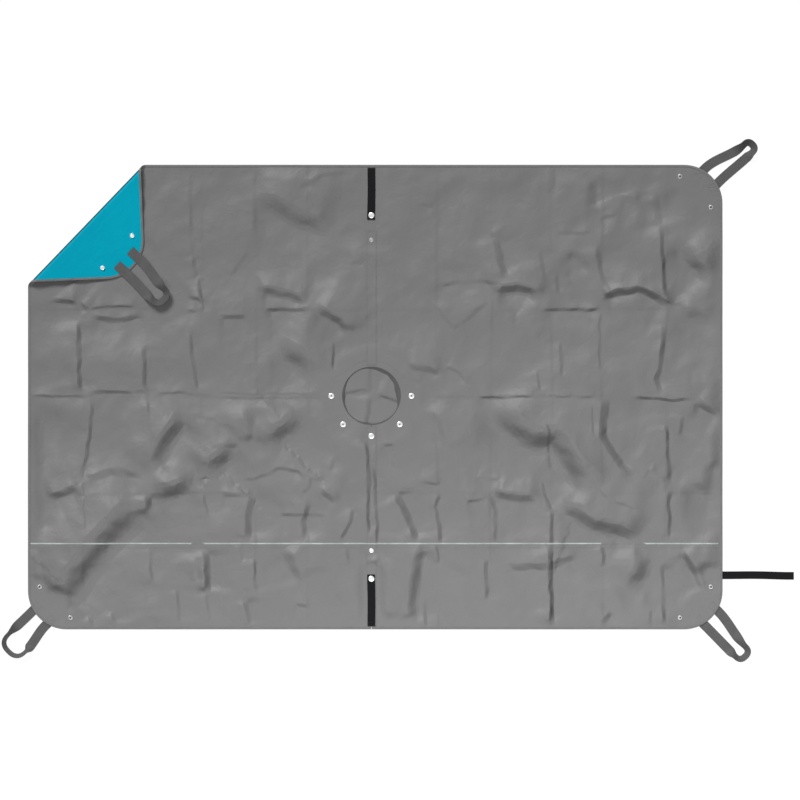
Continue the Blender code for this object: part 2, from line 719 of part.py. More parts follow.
def handle_loop(corner, axis, heading, leg_drop, tip_floor, root_gap=LAYER_GAP):
    """The free loop of a handle, turned to its heading about its axis's empty."""
    reach_share, radius_share, lean_share = HANDLE_SHAPE_SHARES[corner]
    radius = radius_share * LEG_SPACING / 2
    lean = lean_share * LEG_SPACING / 2
    shape = (reach_share * HANDLE_REACH, radius, lean, HANDLE_BANKS[corner])
    stations = loop_stations(*shape, leg_drop, tip_floor, root_gap)
    edges = [(-WEB_WIDTH / 2, 0), (WEB_WIDTH / 2, 0)]
    loop = swept(f"handle_{corner}", stations, edges, WEB_THICKNESS, WEBBING)
    loop.parent = axis
    loop.rotation_euler = (0, 0, heading)
    return loop


def standing_handle(corner, level, carrier=None):
    """A handle that lies on the floor beside its corner."""
    seat, outward = handle_seat(corner)
    handle_ends(corner, level, carrier)
    axis = axis_empty(f"handle_{corner}_axis", (seat.x, seat.y, level), carrier)
    heading = math.atan2(outward.y, outward.x)
    handle_loop(corner, axis, heading, WEB_DROP, LAYER_GAP - level)


def flap_handle(flap_axis, turn):
    """The turned corner's handle, which lies on the mat in front of the flap."""
    corner = "back_left"
    seat, outward = handle_seat(corner)
    handle_ends(corner, PANEL_LEVEL, flap_axis)
    under = PANEL_LEVEL - WEB_DROP - WEB_THICKNESS / 2 - LAYER_GAP / 2
    flat = Vector((seat.x, seat.y, under))
    centre = Vector(flap_axis["flat_place"])
    landed = centre + turn @ (flat - centre)
    axis = axis_empty(f"handle_{corner}_axis", flat, flap_axis)
    axis.rotation_mode = "QUATERNION"
    axis.rotation_quaternion = turn.inverted()
    heading = turn @ outward
    drop = LAYER_GAP / 2 + WEB_THICKNESS / 2
    floor = PANEL_LEVEL + SHEET_THICKNESS / 2 + LAYER_GAP - landed.z
    root_gap = LAYER_GAP + 2 * WEB_THICKNESS * math.sin(SAG)
    handle_loop(corner, axis, math.atan2(heading.y, heading.x), drop, floor, root_gap)


def brace_strap(side, edge_y, inward, low, carrier=None):
    """A black strap sewn at the mat's edge, with a press stud at its free end."""
    lift = low + STRAP_THICKNESS / 2
    raised = low + FLANGE_HEIGHT + LAYER_GAP + STRAP_THICKNESS / 2
    snap_run = BRACE_LENGTH - BRACE_SNAP_SETBACK
    rise_run = snap_run - 2 * CAP_RADIUS
    axis = axis_empty(f"brace_strap_{side}_axis", (LINE_OFFSET, edge_y, lift), carrier)
    heights = [(0, lift), (rise_run - STRAP_WIDTH, lift), (rise_run, raised), (BRACE_LENGTH, raised)]
    line = [(LINE_OFFSET, edge_y + inward * run, height) for run, height in heights]
    name = f"brace_strap_{side}"
    place = tuple(axis["flat_place"])
    strap = ribbon(name, line, (1, 0, 0), STRAP_WIDTH, STRAP_THICKNESS, BLACK_STRAP, axis, place)
    spot = (LINE_OFFSET, edge_y + inward * snap_run)
    cut(strap, cutter(f"{name}_cutter", [spot], NECK_RADIUS + LAYER_GAP, axis))
    top = STRAP_THICKNESS / 2
    profile = cap_half(top) + socket_half(-top, -top - FLANGE_HEIGHT)
    turned(f"brace_snap_{side}", profile, (*spot, raised), SILVER, axis)


def closing_strap():
    """The strap that holds the rolled mat, sewn under its right edge."""
    y = WALL_Y + CLOSING_MARGIN
    level = STRIP_LEVEL - STRAP_DROP
    pivot = HALF_LENGTH + LAYER_GAP
    axis = axis_empty("closing_strap_axis", (pivot, y, STRIP_LEVEL))
    run = CLOSING_LENGTH - LAYER_GAP
    line = []
    for i in range(CLOSING_STEPS + 1):
        share = i / CLOSING_STEPS
        wave = CLOSING_WAVE * math.sin(2 * math.pi * share)
        line.append((pivot + LAYER_GAP + run * share, y, level + wave))
    across = (0, 1, 0)
    place = tuple(axis["flat_place"])
    ribbon("closing_strap", line, across, STRAP_WIDTH, STRAP_THICKNESS, BLACK_STRAP, axis, place)
    line = [(pivot - CLOSING_SEWN, y, level), (pivot, y, level)]
    ribbon("closing_strap_end", line, across, STRAP_WIDTH, STRAP_THICKNESS, BLACK_STRAP)


clear_scene()
parts = bpy.data.collections.new("repotting_mat")
cutters = bpy.data.collections.new("cutters")
bpy.context.scene.collection.children.link(parts)
bpy.context.scene.collection.children.link(cutters)

GREY_CLOTH = finish("grey_laminated_cloth", (0.19, 0.19, 0.19), 0.62)
TEAL_CLOTH = finish("teal_laminated_cloth", (0.0, 0.35, 0.48), 0.55)
HEM_TAPE = finish("grey_hem_tape", (0.13, 0.13, 0.13), 0.70)
WEBBING = finish("grey_webbing", (0.12, 0.12, 0.12), 0.75)
BLACK_STRAP = finish("black_strap", (0.015, 0.015, 0.016), 0.70)
SILVER = finish("nickel_plated_brass", (0.75, 0.75, 0.77), 0.28, 1.0)

fold_place = fold_axis_place()
fold_turn = Quaternion(FOLD_DIRECTION, BEND_ANGLE)
fold_empty = axis_empty("corner_fold_axis", fold_place)
wall_top = BAND_LEVEL + SHEET_THICKNESS / 2
wall_empty = axis_empty("front_wall_axis", (LINE_OFFSET, WALL_Y, wall_top))
patch_place = (LINE_OFFSET, HOLE_OFFSET + PATCH_SEAM, PATCH_LEVEL)
patch_empty = axis_empty("hole_patch_axis", patch_place)

main_panel()
corner_bend()
corner_flap(fold_empty)
for side in ("left", "right"):
    front_cloth(side, wall_empty)
bands(wall_empty)
hems(fold_empty, wall_empty)
hole_patch(patch_empty)
ring_snaps(patch_empty)
line_snaps()
corner_snaps("back_right", PANEL_LEVEL)
corner_snaps("front_left", STRIP_LEVEL, wall_empty)
corner_snaps("front_right", STRIP_LEVEL, wall_empty)

standing_handle("back_right", PANEL_LEVEL)
standing_handle("front_right", STRIP_LEVEL, wall_empty)
standing_handle("front_left", STRIP_LEVEL, wall_empty)
flap_handle(fold_empty, fold_turn)

back_low = PANEL_LEVEL + SHEET_THICKNESS / 2 + LAYER_GAP
brace_strap("back", HALF_DEPTH - STRAP_SETBACK, -1, back_low)
front_low = BAND_LEVEL + SHEET_THICKNESS / 2 + LAYER_GAP
brace_strap("front", STRAP_SETBACK - HALF_DEPTH, 1, front_low, wall_empty)
closing_strap()

fold_empty.rotation_mode = "QUATERNION"
fold_empty.rotation_quaternion = fold_turn
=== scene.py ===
"""A repotting mat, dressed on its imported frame.

Metres, +Z up, +Y to the back, with the floor at zero under the middle of the mat.
"""

import math

import bpy
import numpy as np
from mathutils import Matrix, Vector
from mathutils.geometry import delaunay_2d_cdt


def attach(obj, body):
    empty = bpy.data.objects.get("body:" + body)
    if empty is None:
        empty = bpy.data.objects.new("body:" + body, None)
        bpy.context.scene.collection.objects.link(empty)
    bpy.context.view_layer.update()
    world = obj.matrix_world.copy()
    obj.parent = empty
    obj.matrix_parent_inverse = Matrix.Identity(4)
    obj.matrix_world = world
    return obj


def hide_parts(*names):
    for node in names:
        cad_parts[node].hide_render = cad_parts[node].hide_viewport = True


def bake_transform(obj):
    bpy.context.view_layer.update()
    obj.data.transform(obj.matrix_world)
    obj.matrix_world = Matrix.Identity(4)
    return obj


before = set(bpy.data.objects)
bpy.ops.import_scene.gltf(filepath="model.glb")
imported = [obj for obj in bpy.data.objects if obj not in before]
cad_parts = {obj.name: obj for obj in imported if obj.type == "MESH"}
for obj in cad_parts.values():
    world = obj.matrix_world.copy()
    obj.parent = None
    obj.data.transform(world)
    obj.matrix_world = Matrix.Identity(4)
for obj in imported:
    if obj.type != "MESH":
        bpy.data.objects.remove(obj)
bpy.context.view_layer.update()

# The main sheet is woven cloth, laminated grey above and teal below, with rounded corners,
# a round hole for a plant's trunk and a slit from the hole to the front. It lies loose on
# the floor and keeps the creases of the small square that it was packed in.
HALF_LENGTH, HALF_DEPTH = 0.900, 0.602
CORNER_RADIUS = 0.100
EDGE_INSET = 0.0008
SHEET_THICKNESS = 0.0006
LAYER_STEP = 0.0009
PANEL_LEVEL = 0.0047
LINE_X, LINE_KNOBS = -0.010, (0.407, -0.398)
HOLE_Y, HOLE_RADIUS, RING_RADIUS = 0.003, 0.075, 0.104
SNAP_NEAR, SNAP_FAR = 0.030, 0.110
SLIT_HALF = 0.0005
SEAM_Y, LAP_DEPTH, LAP_INSET = -0.379, 0.020, 0.009
WALL_Y = -0.482
BEND_RADIUS = 0.009
SAG = math.radians(6.003)
BEND_LENGTH = BEND_RADIUS * (math.pi + SAG)
FOLD_ALONG = Vector((0.300, 0.312)).normalized()
FOLD_INWARD = Vector((FOLD_ALONG.y, -FOLD_ALONG.x))
FOLD_START = Vector((-0.600, HALF_DEPTH)) + FOLD_INWARD * (BEND_RADIUS + SHEET_THICKNESS / 2)
CLOTH_STEP = 0.0095
CREASE_STEP = 0.007

# Where the cloth was packed, across at each x and along at each y: faint lines that run
# right over it
PACKED_ACROSS = (-0.755, -0.594, -0.449, -0.309, -0.174, 0.160, 0.300, 0.456, 0.588, 0.754)
PACKED_ALONG = (0.227, 0.001, -0.249)
PACKED_RISE, PACKED_WIDTH = 0.8, 7

# The folds that it keeps. Each is a line of places in millimetres, then how wide its steep
# side is and how steep. All of them lean one way, as the cloth was pulled flat: they rise
# slowly from the back left and drop at once to the front right.
LEAN = (0.42, -0.91)
FOLDS = (
    ((303, 257, 336, 277, 365, 283, 401, 275, 430, 252), 32, 0.41), ((427, 226, 585, 227), 8, 0.35),
    ((585, 257, 634, 272, 678, 280, 712, 267, 769, 233), 19, 0.44),
    ((738, 272, 756, 252, 769, 241, 795, 239), 6, 0.26), ((769, 218, 803, 213, 894, 205), 40, 0.20),
    ((751, 187, 741, 96, 730, 44, 743, 10), 13, 0.25), ((583, 226, 580, 65), 6, 0.18),
    ((481, 143, 481, 49), 8, 0.19), ((419, 70, 427, 18), 8, 0.19), ((129, 0, 259, -1), 5, 0.12),
    ((259, -1, 414, 0), 6, 0.37), ((432, 3, 575, 0), 5, 0.28),
    ((660, 0, 725, -5, 829, -8), 8, 0.32), ((829, -8, 873, -34, 901, -49), 19, 0.33),
    ((64, 60, 121, 34), 10, 0.21), ((80, 80, 173, 65), 19, 0.22),
    ((183, 80, 220, 60, 238, 39), 8, 0.25),
    ((134, 259, 152, 239, 202, 179, 251, 213, 297, 252), 10, 0.12),
    ((284, -13, 362, -85, 414, -111, 466, -111, 505, -176, 557, -228, 583, -251), 81, 0.37),
    ((440, -65, 450, -85, 448, -150, 456, -194), 8, 0.33),
    ((432, -215, 440, -254, 458, -298), 8, 0.28), ((458, -293, 456, -389), 10, 0.32),
    ((453, -378, 456, -500, 458, -601), 13, 0.39),
    ((562, -207, 583, -246, 621, -272, 686, -293), 8, 0.28),
    ((466, -293, 518, -298, 570, -332, 634, -345, 691, -373), 51, 0.37),
    ((559, -21, 567, -104), 6, 0.21),
    ((598, 0, 588, -98, 619, -150, 637, -176, 673, -194), 19, 0.29),
    ((754, -65, 764, -233), 10, 0.28), ((764, -236, 761, -280, 764, -370), 10, 0.28),
    ((741, -422, 746, -474, 748, -596), 10, 0.25), ((704, -189, 751, -223), 8, 0.28),
    ((795, -47, 792, -98), 8, 0.21), ((849, -176, 899, -179), 25, 0.22),
    ((790, -236, 899, -241), 55, 0.23), ((116, -215, 168, -228), 8, 0.19),
    ((264, -205, 297, -215, 323, -215), 8, 0.25), ((233, -272, 290, -262), 10, 0.21),
    ((290, -246, 336, -259, 432, -267), 32, 0.33),
    ((173, -246, 155, -285, 168, -337, 165, -383), 10, 0.25),
    ((297, -254, 313, -293, 310, -383), 10, 0.23),
    ((51, -246, 69, -280, 95, -332, 108, -376), 19, 0.33),
    ((129, -34, 168, -72, 181, -142), 32, 0.15), ((12, -124, 43, -124, 43, -181), 10, 0.16),
    ((95, -588, 103, -487, 111, -422, 129, -383), 29, 0.27), ((129, -521, 129, -601), 8, 0.33),
    ((157, -383, 168, -428), 6, 0.25), ((287, -417, 290, -531), 10, 0.23),
    ((336, -440, 440, -440, 531, -412), 19, 0.22), ((588, -383, 593, -440), 10, 0.28),
    ((707, -402, 686, -461, 647, -505), 51, 0.29),
    ((790, -396, 816, -435, 842, -474, 862, -531), 19, 0.35), ((583, -591, 614, -557), 13, 0.19),
    ((712, -552, 715, -599), 8, 0.19), ((-895, 259, -835, 252, -770, 239), 12, 0.35),
    ((-765, 244, -744, 228), 8, 0.38), ((-744, 228, -687, 236, -615, 233), 5, 0.38),
    ((-739, 207, -675, 197, -615, 210, -597, 215), 13, 0.31),
    ((-768, 200, -768, 109, -765, 5), 13, 0.35), ((-599, 135, -599, 18), 10, 0.25),
    ((-480, 174, -470, 83, -459, 13), 10, 0.25), ((-454, 290, -444, 220), 6, 0.25),
    ((-589, 223, -454, 223), 8, 0.34), ((-519, 259, -459, 254, -441, 241), 10, 0.28),
    ((-408, 207, -330, 207), 13, 0.22), ((-312, 264, -278, 275, -221, 264, -169, 249), 29, 0.33),
    ((-291, 226, -174, 226), 10, 0.26), ((-161, 231, -122, 213, -91, 195, -65, 156), 29, 0.38),
    ((-107, 145, -112, 70), 6, 0.32), ((-278, 135, -195, 96, -130, 49), 75, 0.23),
    ((-900, 3, -744, 0), 6, 0.28), ((-744, 0, -726, 13, -602, 13, -584, 5), 8, 0.32),
    ((-571, 5, -532, 13, -421, 3), 6, 0.25), ((-421, 8, -130, 8), 5, 0.23),
    ((-421, -2, -130, -2), 5, 0.23), ((-732, 0, -739, -85, -747, -150, -765, -220), 10, 0.33),
    ((-760, -223, -752, -254), 8, 0.25), ((-755, -254, -752, -345), 6, 0.25),
    ((-848, -267, -804, -246, -765, -233), 19, 0.33),
    ((-750, -215, -687, -194, -602, -202), 19, 0.20), ((-589, -8, -586, -85, -579, -150), 6, 0.25),
    ((-485, -34, -511, -72, -545, -117, -576, -181, -589, -207), 51, 0.37),
    ((-589, -254, -537, -246, -454, -215), 51, 0.37), ((-589, -249, -586, -306), 19, 0.31),
    ((-589, -262, -623, -298, -662, -337, -700, -373, -750, -443, -791, -500, -853, -562), 93, 0.34),
    ((-348, -122, -415, -176, -444, -215), 57, 0.37), ((-428, -129, -351, -124), 10, 0.19),
    ((-325, -21, -325, -98, -351, -127), 32, 0.24),
    ((-182, -26, -221, -78, -260, -104, -286, -150), 62, 0.29),
    ((-485, -215, -446, -210, -446, -236), 8, 0.28), ((-446, -249, -433, -311), 8, 0.25),
    ((-351, -215, -312, -212, -252, -186, -200, -192, -182, -215), 8, 0.25),
    ((-402, -254, -317, -254), 13, 0.25), ((-314, -246, -330, -311, -330, -373), 19, 0.31),
    ((-169, -267, -185, -319, -185, -373), 13, 0.25),
    ((-195, -254, -169, -233, -167, -215, -130, -212), 8, 0.25),
    ((-148, -241, -97, -272), 19, 0.20), ((-58, -285, -65, -324, -91, -373), 10, 0.21),
    ((-104, -155, -117, -189), 8, 0.19), ((-252, -306, -122, -306), 8, 0.21),
    ((-884, -13, -882, -383), 51, 0.22), ((-584, -389, -581, -448, -576, -487), 10, 0.25),
    ((-439, -394, -433, -461, -436, -510), 19, 0.40), ((-439, -505, -428, -583), 10, 0.16),
    ((-511, -495, -509, -588), 10, 0.16), ((-465, -417, -467, -479), 8, 0.25),
    ((-312, -417, -309, -505), 8, 0.25), ((-338, -521, -325, -596), 13, 0.25),
    ((-244, -394, -218, -428, -195, -485), 29, 0.27), ((-208, -536, -169, -549), 10, 0.21),
    ((-680, -552, -672, -593), 13, 0.25), ((-739, -567, -729, -601), 10, 0.19),
    ((-78, -391, -65, -433), 8, 0.19), ((-874, -391, -869, -510), 13, 0.21),
    ((-351, -383, -345, -428), 8, 0.16), ((-480, 594, -478, 472, -472, 350), 10, 0.10),
    ((-470, 366, -465, 303), 10, 0.21), ((-457, 309, -454, 249), 6, 0.25),
    ((-312, 594, -312, 415), 10, 0.10), ((-325, 511, -260, 498, -195, 459, -107, 436), 51, 0.22),
    ((-154, 573, -73, 581), 8, 0.19), ((-376, 311, -351, 347, -327, 376), 8, 0.16),
    ((-65, 350, -29, 350), 8, 0.19), ((-187, 563, -161, 544), 16, 0.18),
    ((741, 446, 748, 316, 751, 246), 10, 0.30), ((725, 529, 738, 441), 19, 0.18),
    ((790, 407, 816, 360, 842, 334, 881, 306), 51, 0.37),
    ((577, 394, 583, 329, 598, 290, 616, 262), 13, 0.23),
    ((310, 420, 323, 355, 341, 311), 19, 0.24), ((427, 381, 440, 303), 10, 0.16),
    ((474, 360, 510, 371, 544, 350, 567, 324), 29, 0.23), ((468, 319, 474, 270), 8, 0.19),
    ((463, 596, 463, 531), 8, 0.14), ((580, 464, 624, 467), 8, 0.23),
    ((466, 425, 559, 423), 8, 0.19), ((160, 288, 246, 301, 336, 296), 10, 0.16),
    ((157, 350, 251, 329), 29, 0.12), ((113, 503, 150, 493), 8, 0.19),
    ((562, 576, 557, 498, 575, 477), 29, 0.15), ((634, 518, 689, 503), 19, 0.15),
    ((686, 511, 761, 480), 32, 0.15), ((297, 423, 326, 410), 10, 0.19),
    ((-27, -72, -16, -189, -19, -373), 9, 0.32), ((-8, -158, 5, -319, 7, -453), 9, 0.26),
)

# Lines that studs, straps and the turned corner hold flat, each with its reach
HELD_FLAT = (
    (((-0.900, 0.290), (-0.590, 0.600)), 0.030), (((-0.870, 0.310), (-0.620, 0.570)), 0.060),
    (((-0.720, 0.420), (-0.620, 0.330)), 0.060), (((-0.620, 0.340), (-0.530, 0.250)), 0.040),
    (((-0.010, 0.594), (-0.010, 0.450)), 0.016), (((-0.010, -0.594), (-0.010, -0.455)), 0.016),
    (((-0.010, 0.407), (-0.010, 0.406)), 0.010), (((0.900, -0.462), (0.866, -0.462)), 0.014),
    (((0.880, 0.582), (0.846, 0.548)), 0.040), (((0.880, -0.582), (0.846, -0.548)), 0.040),
    (((-0.880, -0.582), (-0.846, -0.548)), 0.040), (((0.870, 0.492), (0.870, 0.491)), 0.010),
    (((0.790, 0.572), (0.790, 0.571)), 0.010), (((0.870, -0.492), (0.870, -0.491)), 0.010),
    (((0.790, -0.572), (0.790, -0.571)), 0.010), (((-0.870, -0.492), (-0.870, -0.491)), 0.010),
    (((-0.790, -0.572), (-0.790, -0.571)), 0.010), (((-0.010, -0.101), (-0.010, -0.102)), 0.010),
    (((0.094, 0.003), (0.094, 0.004)), 0.009), (((-0.114, 0.003), (-0.114, 0.004)), 0.009),
    (((0.0635, -0.0705), (0.0635, -0.0715)), 0.009), (((-0.0835, -0.0705), (-0.0835, -0.0715)), 0.009),
    (((-0.010, -0.398), (-0.010, -0.399)), 0.009),
)
FLAT_MARGIN = 0.028
LOWEST, HIGHEST, FOLD_GAIN = 3.1, 8.5, 1.4

# Between the folds it lies in swells and low ridges. Each has its height in millimetres, its
# shortest and its longest wave and its seed, and a ridge how blunt its top is.
SWELLS = ((2.3, 0.13, 0.36, 3), (0.42, 0.05, 0.12, 4))
RIDGES = ((0.6, 0.09, 0.22, 9, 0.25), (0.22, 0.035, 0.08, 15, 0.30))
BACK_EASE = 0.85


def smooth(share):
    """Ease from 0 to 1."""
    share = np.clip(share, 0, 1)
    return share * share * (3 - 2 * share)


def swells(x, y, shortest, longest, seed, count=26):
    """Random swells of the cloth, from about -1 to 1, between two lengths."""
    chance = np.random.default_rng(seed)
    total = np.zeros_like(x)
    for _ in range(count):
        length = shortest * (longest / shortest) ** chance.random()
        heading, phase = chance.random(2) * 2 * math.pi
        run = (x * math.cos(heading) + y * math.sin(heading)) / length
        total += np.sin(2 * math.pi * run + phase)
    return total / math.sqrt(2 * count)


def strayed(x, y):
    """Where places would lie if the folds' lines were straight, some millimetres off."""
    return x + 0.0021 * swells(x, y, 0.03, 0.10, 31), y + 0.0021 * swells(x, y, 0.03, 0.10, 32)


def wander(run, seed):
    """The few millimetres by which a packing crease strays from straight."""
    return 0.0022 * np.sin(run / 0.19 + 2.1 * seed) + 0.0010 * np.sin(run / 0.061 + 4.7 * seed)


def reach_of(line, x, y):
    """How far points lie from a line, on its leaning side or not, and their share of it."""
    corners = np.array(line, float).reshape(-1, 2)
    lengths = np.hypot(*np.diff(corners, axis=0).T)
    way = corners[-1] - corners[0]
    lean = -1 if way[0] * LEAN[1] - way[1] * LEAN[0] > 0 else 1
    gap, off, share, run = np.full_like(x, np.inf), np.zeros_like(x), np.zeros_like(x), 0.0
    for (ax, ay), (bx, by), length in zip(corners, corners[1:], lengths):
        along = np.clip(((x - ax) * (bx - ax) + (y - ay) * (by - ay)) / length**2, 0, 1)
        to_x, to_y = x - ax - along * (bx - ax), y - ay - along * (by - ay)
        here = np.hypot(to_x, to_y)
        near = here < gap
        share = np.where(near, (run + along * length) / lengths.sum(), share)
        off = np.where(near, here * lean * np.sign(to_x * (by - ay) - to_y * (bx - ax)), off)
        gap = np.where(near, here, gap)
        run += length
    return gap, off, share


def tail_of(width):
    """How far a fold fades out on each side, in millimetres."""
    return min(2.2 * width + 8, 70)


def fold_height(off, width, slope):
    """A fold's height across it: a slow rise, a steep drop and a slow return."""
    down, tail = off / width + 0.5, tail_of(width)
    soft = min(max((width - 16) / 16, 0), 1)
    drop = 0.55 - (1 - soft) * down - soft * smooth(down)
    before = 0.55 * np.exp(np.minimum(down, 0) * width / tail)
    after = -0.45 * np.exp((1 - np.maximum(down, 1)) * width / tail)
    height = np.where(down < 0, before, np.where(down > 1, after, drop))
    return slope * (1 - 0.25 * soft) * width * height


def packed_creases(x, y):
    """The height of the packing creases, in millimetres."""
    height = np.zeros_like(x)
    for number, place in enumerate(PACKED_ACROSS):
        worn = 0.6 + 0.4 * np.sin(y / 0.083 + 1.9 * number)
        off = 1000 * (x - place - wander(y, number))
        height += worn * fold_height(off, PACKED_WIDTH, PACKED_RISE / PACKED_WIDTH)
    for number, place in enumerate(PACKED_ALONG, 20):
        worn = 0.6 + 0.4 * np.sin(x / 0.107 + 2.3 * number)
        off = -1000 * (y - place - wander(x, number))
        height += worn * fold_height(off, PACKED_WIDTH, PACKED_RISE / PACKED_WIDTH)
    return height


def kept_folds(folds, x, y):
    """The height of the folds in a table, in millimetres, stronger here and weaker there."""
    height, (x, y) = np.zeros_like(x), strayed(x, y)
    worn = np.clip(0.34 * swells(x, y, 0.04, 0.12, 33), -0.5, 0.4)
    for line, width, slope in folds:
        corners = np.array(line, float).reshape(-1, 2) / 1000
        reach = 0.004 * tail_of(width)
        low, high = corners.min(axis=0) - reach, corners.max(axis=0) + reach
        near = (x > low[0]) & (x < high[0]) & (y > low[1]) & (y < high[1])
        if near.any():
            _, off, share = reach_of(corners, x[near], y[near])
            length = 1000 * np.hypot(*np.diff(corners, axis=0).T).sum()
            ends = smooth(np.minimum(share, 1 - share) / np.clip(1.2 * width / length, 0.16, 0.5))
            ends *= 1 + worn[near] * min(1.0, 12 / width)
            height[near] += FOLD_GAIN * ends * fold_height(1000 * off, width, slope)
    return height


def rows_along(folds):
    """Rows of points along the edges and the middle of each fold, for the cloth's mesh."""
    rows = []
    for line, width, _ in folds:
        middle = np.array(stepped(np.array(line).reshape(-1, 2) / 1000, CREASE_STEP))
        way = np.gradient(middle, axis=0)
        across = np.stack([-way[:, 1], way[:, 0]], 1) / np.hypot(*way.T)[:, None]
        sides = [-width / 2, width / 2, -width / 2 - 5, width / 2 + 5]
        sides += [0] * (width > 8) + [-width / 4, width / 4] * (width > 16)
        for side in sides:
            row = middle + 0.001 * side * across
            rows.append((2 * row - np.stack(strayed(*row.T), 1)).tolist())
    return rows


def seam_tucks(x, y):
    """The height of the short tucks that the lap's seam draws in, in millimetres."""
    height, chance = np.zeros_like(x), np.random.default_rng(12)
    for place in np.arange(-0.88, 0.89, 0.031):
        at, lean = place + 0.012 * (chance.random() - 0.5), 0.5 * (chance.random() - 0.5)
        reach, rise = 0.014 + 0.026 * chance.random(), chance.random() - 0.35
        off = (x - at - lean * (y - SEAM_Y)) / 0.0052
        height += 1.5 * rise * np.exp(-(off**2) - ((y - SEAM_Y + 0.008) / reach) ** 2)
    return height


def loose(x, y):
    """How high the loose cloth would stand if no floor held it up, in millimetres."""
    height = packed_creases(x, y) + kept_folds(FOLDS, x, y)
    for rise, shortest, longest, seed in SWELLS:
        height += rise * swells(x, y, shortest, longest, seed)
    for rise, shortest, longest, seed, blunt in RIDGES:
        height += rise * (1 - 2.2 * np.hypot(swells(x, y, shortest, longest, seed), blunt))
    height *= BACK_EASE + (1 - BACK_EASE) * smooth((0.35 - y) / 0.10)
    height += seam_tucks(x, y)
    free = np.ones_like(x)
    for line, reach in HELD_FLAT:
        free = np.minimum(free, smooth((reach_of(line, x, y)[0] - reach) / FLAT_MARGIN))
    edge = np.minimum(HALF_LENGTH - np.abs(x), HALF_DEPTH - np.abs(y))
    height = (height + 0.9) * free * (0.45 + 0.55 * smooth(edge / 0.04))
    over_patch = smooth((0.140 - np.hypot(x - LINE_X, y - HOLE_Y)) / 0.025)
    return height * (1 - over_patch * np.where(height > 0, 0.55, 0.85))


def relief(x, y):
    """How far the loose cloth stands above its flat level, in metres."""
    height = loose(x, y)
    limit = np.where(height > 0, HIGHEST, LOWEST)
    return 0.001 * limit * np.tanh(height / limit)


def folded(x, y, lift):
    """Carry points of the flat cloth, at a lift above it, to where the turned corner lies."""
    from_x, from_y = x - FOLD_START.x, y - FOLD_START.y
    along = from_x * FOLD_ALONG.x + from_y * FOLD_ALONG.y
    past = -(from_x * FOLD_INWARD.x + from_y * FOLD_INWARD.y)
    angle = np.clip(past, 0, BEND_LENGTH) / BEND_RADIUS
    over = np.maximum(past - BEND_LENGTH, 0)
    inward = np.maximum(-past, 0) - BEND_RADIUS * np.sin(angle) - over * np.cos(angle)
    inward = inward + lift * np.sin(angle)
    height = PANEL_LEVEL + BEND_RADIUS * (1 - np.cos(angle)) + over * np.sin(angle)
    height = height + lift * np.cos(angle)
    place_x = FOLD_START.x + FOLD_ALONG.x * along + FOLD_INWARD.x * inward
    place_y = FOLD_START.y + FOLD_ALONG.y * along + FOLD_INWARD.y * inward
    return np.stack([place_x, place_y, height], axis=-1)


def fold_x(past, y):
    """Where a line parallel to the fold, so far past it, meets a line of constant y."""
    return FOLD_START.x - (past + (y - FOLD_START.y) * FOLD_INWARD.y) / FOLD_INWARD.x


def fold_y(past, x):
    """Where a line parallel to the fold, so far past it, meets a line of constant x."""
    return FOLD_START.y - (past + (x - FOLD_START.x) * FOLD_INWARD.x) / FOLD_INWARD.y


def arc(centre, radius, start, end, steps=16):
    """Points on an arc, angles in degrees."""
    angles = np.radians(np.linspace(start, end, steps + 1))
    return [(centre[0] + radius * math.cos(a), centre[1] + radius * math.sin(a)) for a in angles]


def rounded(sign_x, sign_y, start, end, inset=EDGE_INSET):
    """One of the mat's rounded corners."""
    centre = sign_x * (HALF_LENGTH - CORNER_RADIUS), sign_y * (HALF_DEPTH - CORNER_RADIUS)
    return arc(centre, CORNER_RADIUS - inset, start, end)


def stepped(line, step, closed=False):
    """The same line with points no further apart than a step."""
    corners = list(line) + ([line[0]] if closed else [])
    points = []
    for (ax, ay), (bx, by) in zip(corners, corners[1:]):
        count = max(1, math.ceil(math.hypot(bx - ax, by - ay) / step))
        points += [(ax + (bx - ax) * i / count, ay + (by - ay) * i / count) for i in range(count)]
    return points if closed else points + [corners[-1]]


def filled(outline, step, lines=()):
    """Triangles that fill an outline, with rows of points kept along given lines."""
    cells, spots = {}, []

    def keep(x, y, room):
        column, row = math.floor(x / step), math.floor(y / step)
        near = [cells.get((column + i, row + j), ()) for i in (-1, 0, 1) for j in (-1, 0, 1)]
        if all((x - a) ** 2 + (y - b) ** 2 >= room * room for cell in near for a, b in cell):
            cells.setdefault((column, row), []).append((x, y))
            spots.append((x, y))

    rim = stepped(outline, step, closed=True)
    low, high = np.min(rim, axis=0), np.max(rim, axis=0)
    for x, y in rim:
        keep(x, y, 0)
    for line in lines:
        for x, y in line:
            if low[0] < x < high[0] and low[1] < y < high[1]:
                keep(x, y, 0.4 * step)
    chance = np.random.default_rng(1)
    for row, y in enumerate(np.arange(low[1], high[1], step * 0.87)):
        for x in np.arange(low[0] + step / 2 * (row % 2), high[0], step):
            shift = (chance.random(2) - 0.5) * step * 0.25
            keep(x + shift[0], y + shift[1], 0.62 * step)
    edges = [(i, (i + 1) % len(rim)) for i in range(len(rim))]
    found = delaunay_2d_cdt([Vector(spot) for spot in spots], edges, [], 1, 1e-7)
    flat, faces = np.array(found[0]), np.array(found[2])
    used, faces = np.unique(faces, return_inverse=True)
    flat, faces = flat[used], faces.reshape(-1, 3)
    a, b, c = flat[faces[:, 0]], flat[faces[:, 1]], flat[faces[:, 2]]
    turned = (b[:, 0] - a[:, 0]) * (c[:, 1] - a[:, 1]) < (c[:, 0] - a[:, 0]) * (b[:, 1] - a[:, 1])
    faces[turned] = faces[turned][:, ::-1]
    return flat, faces


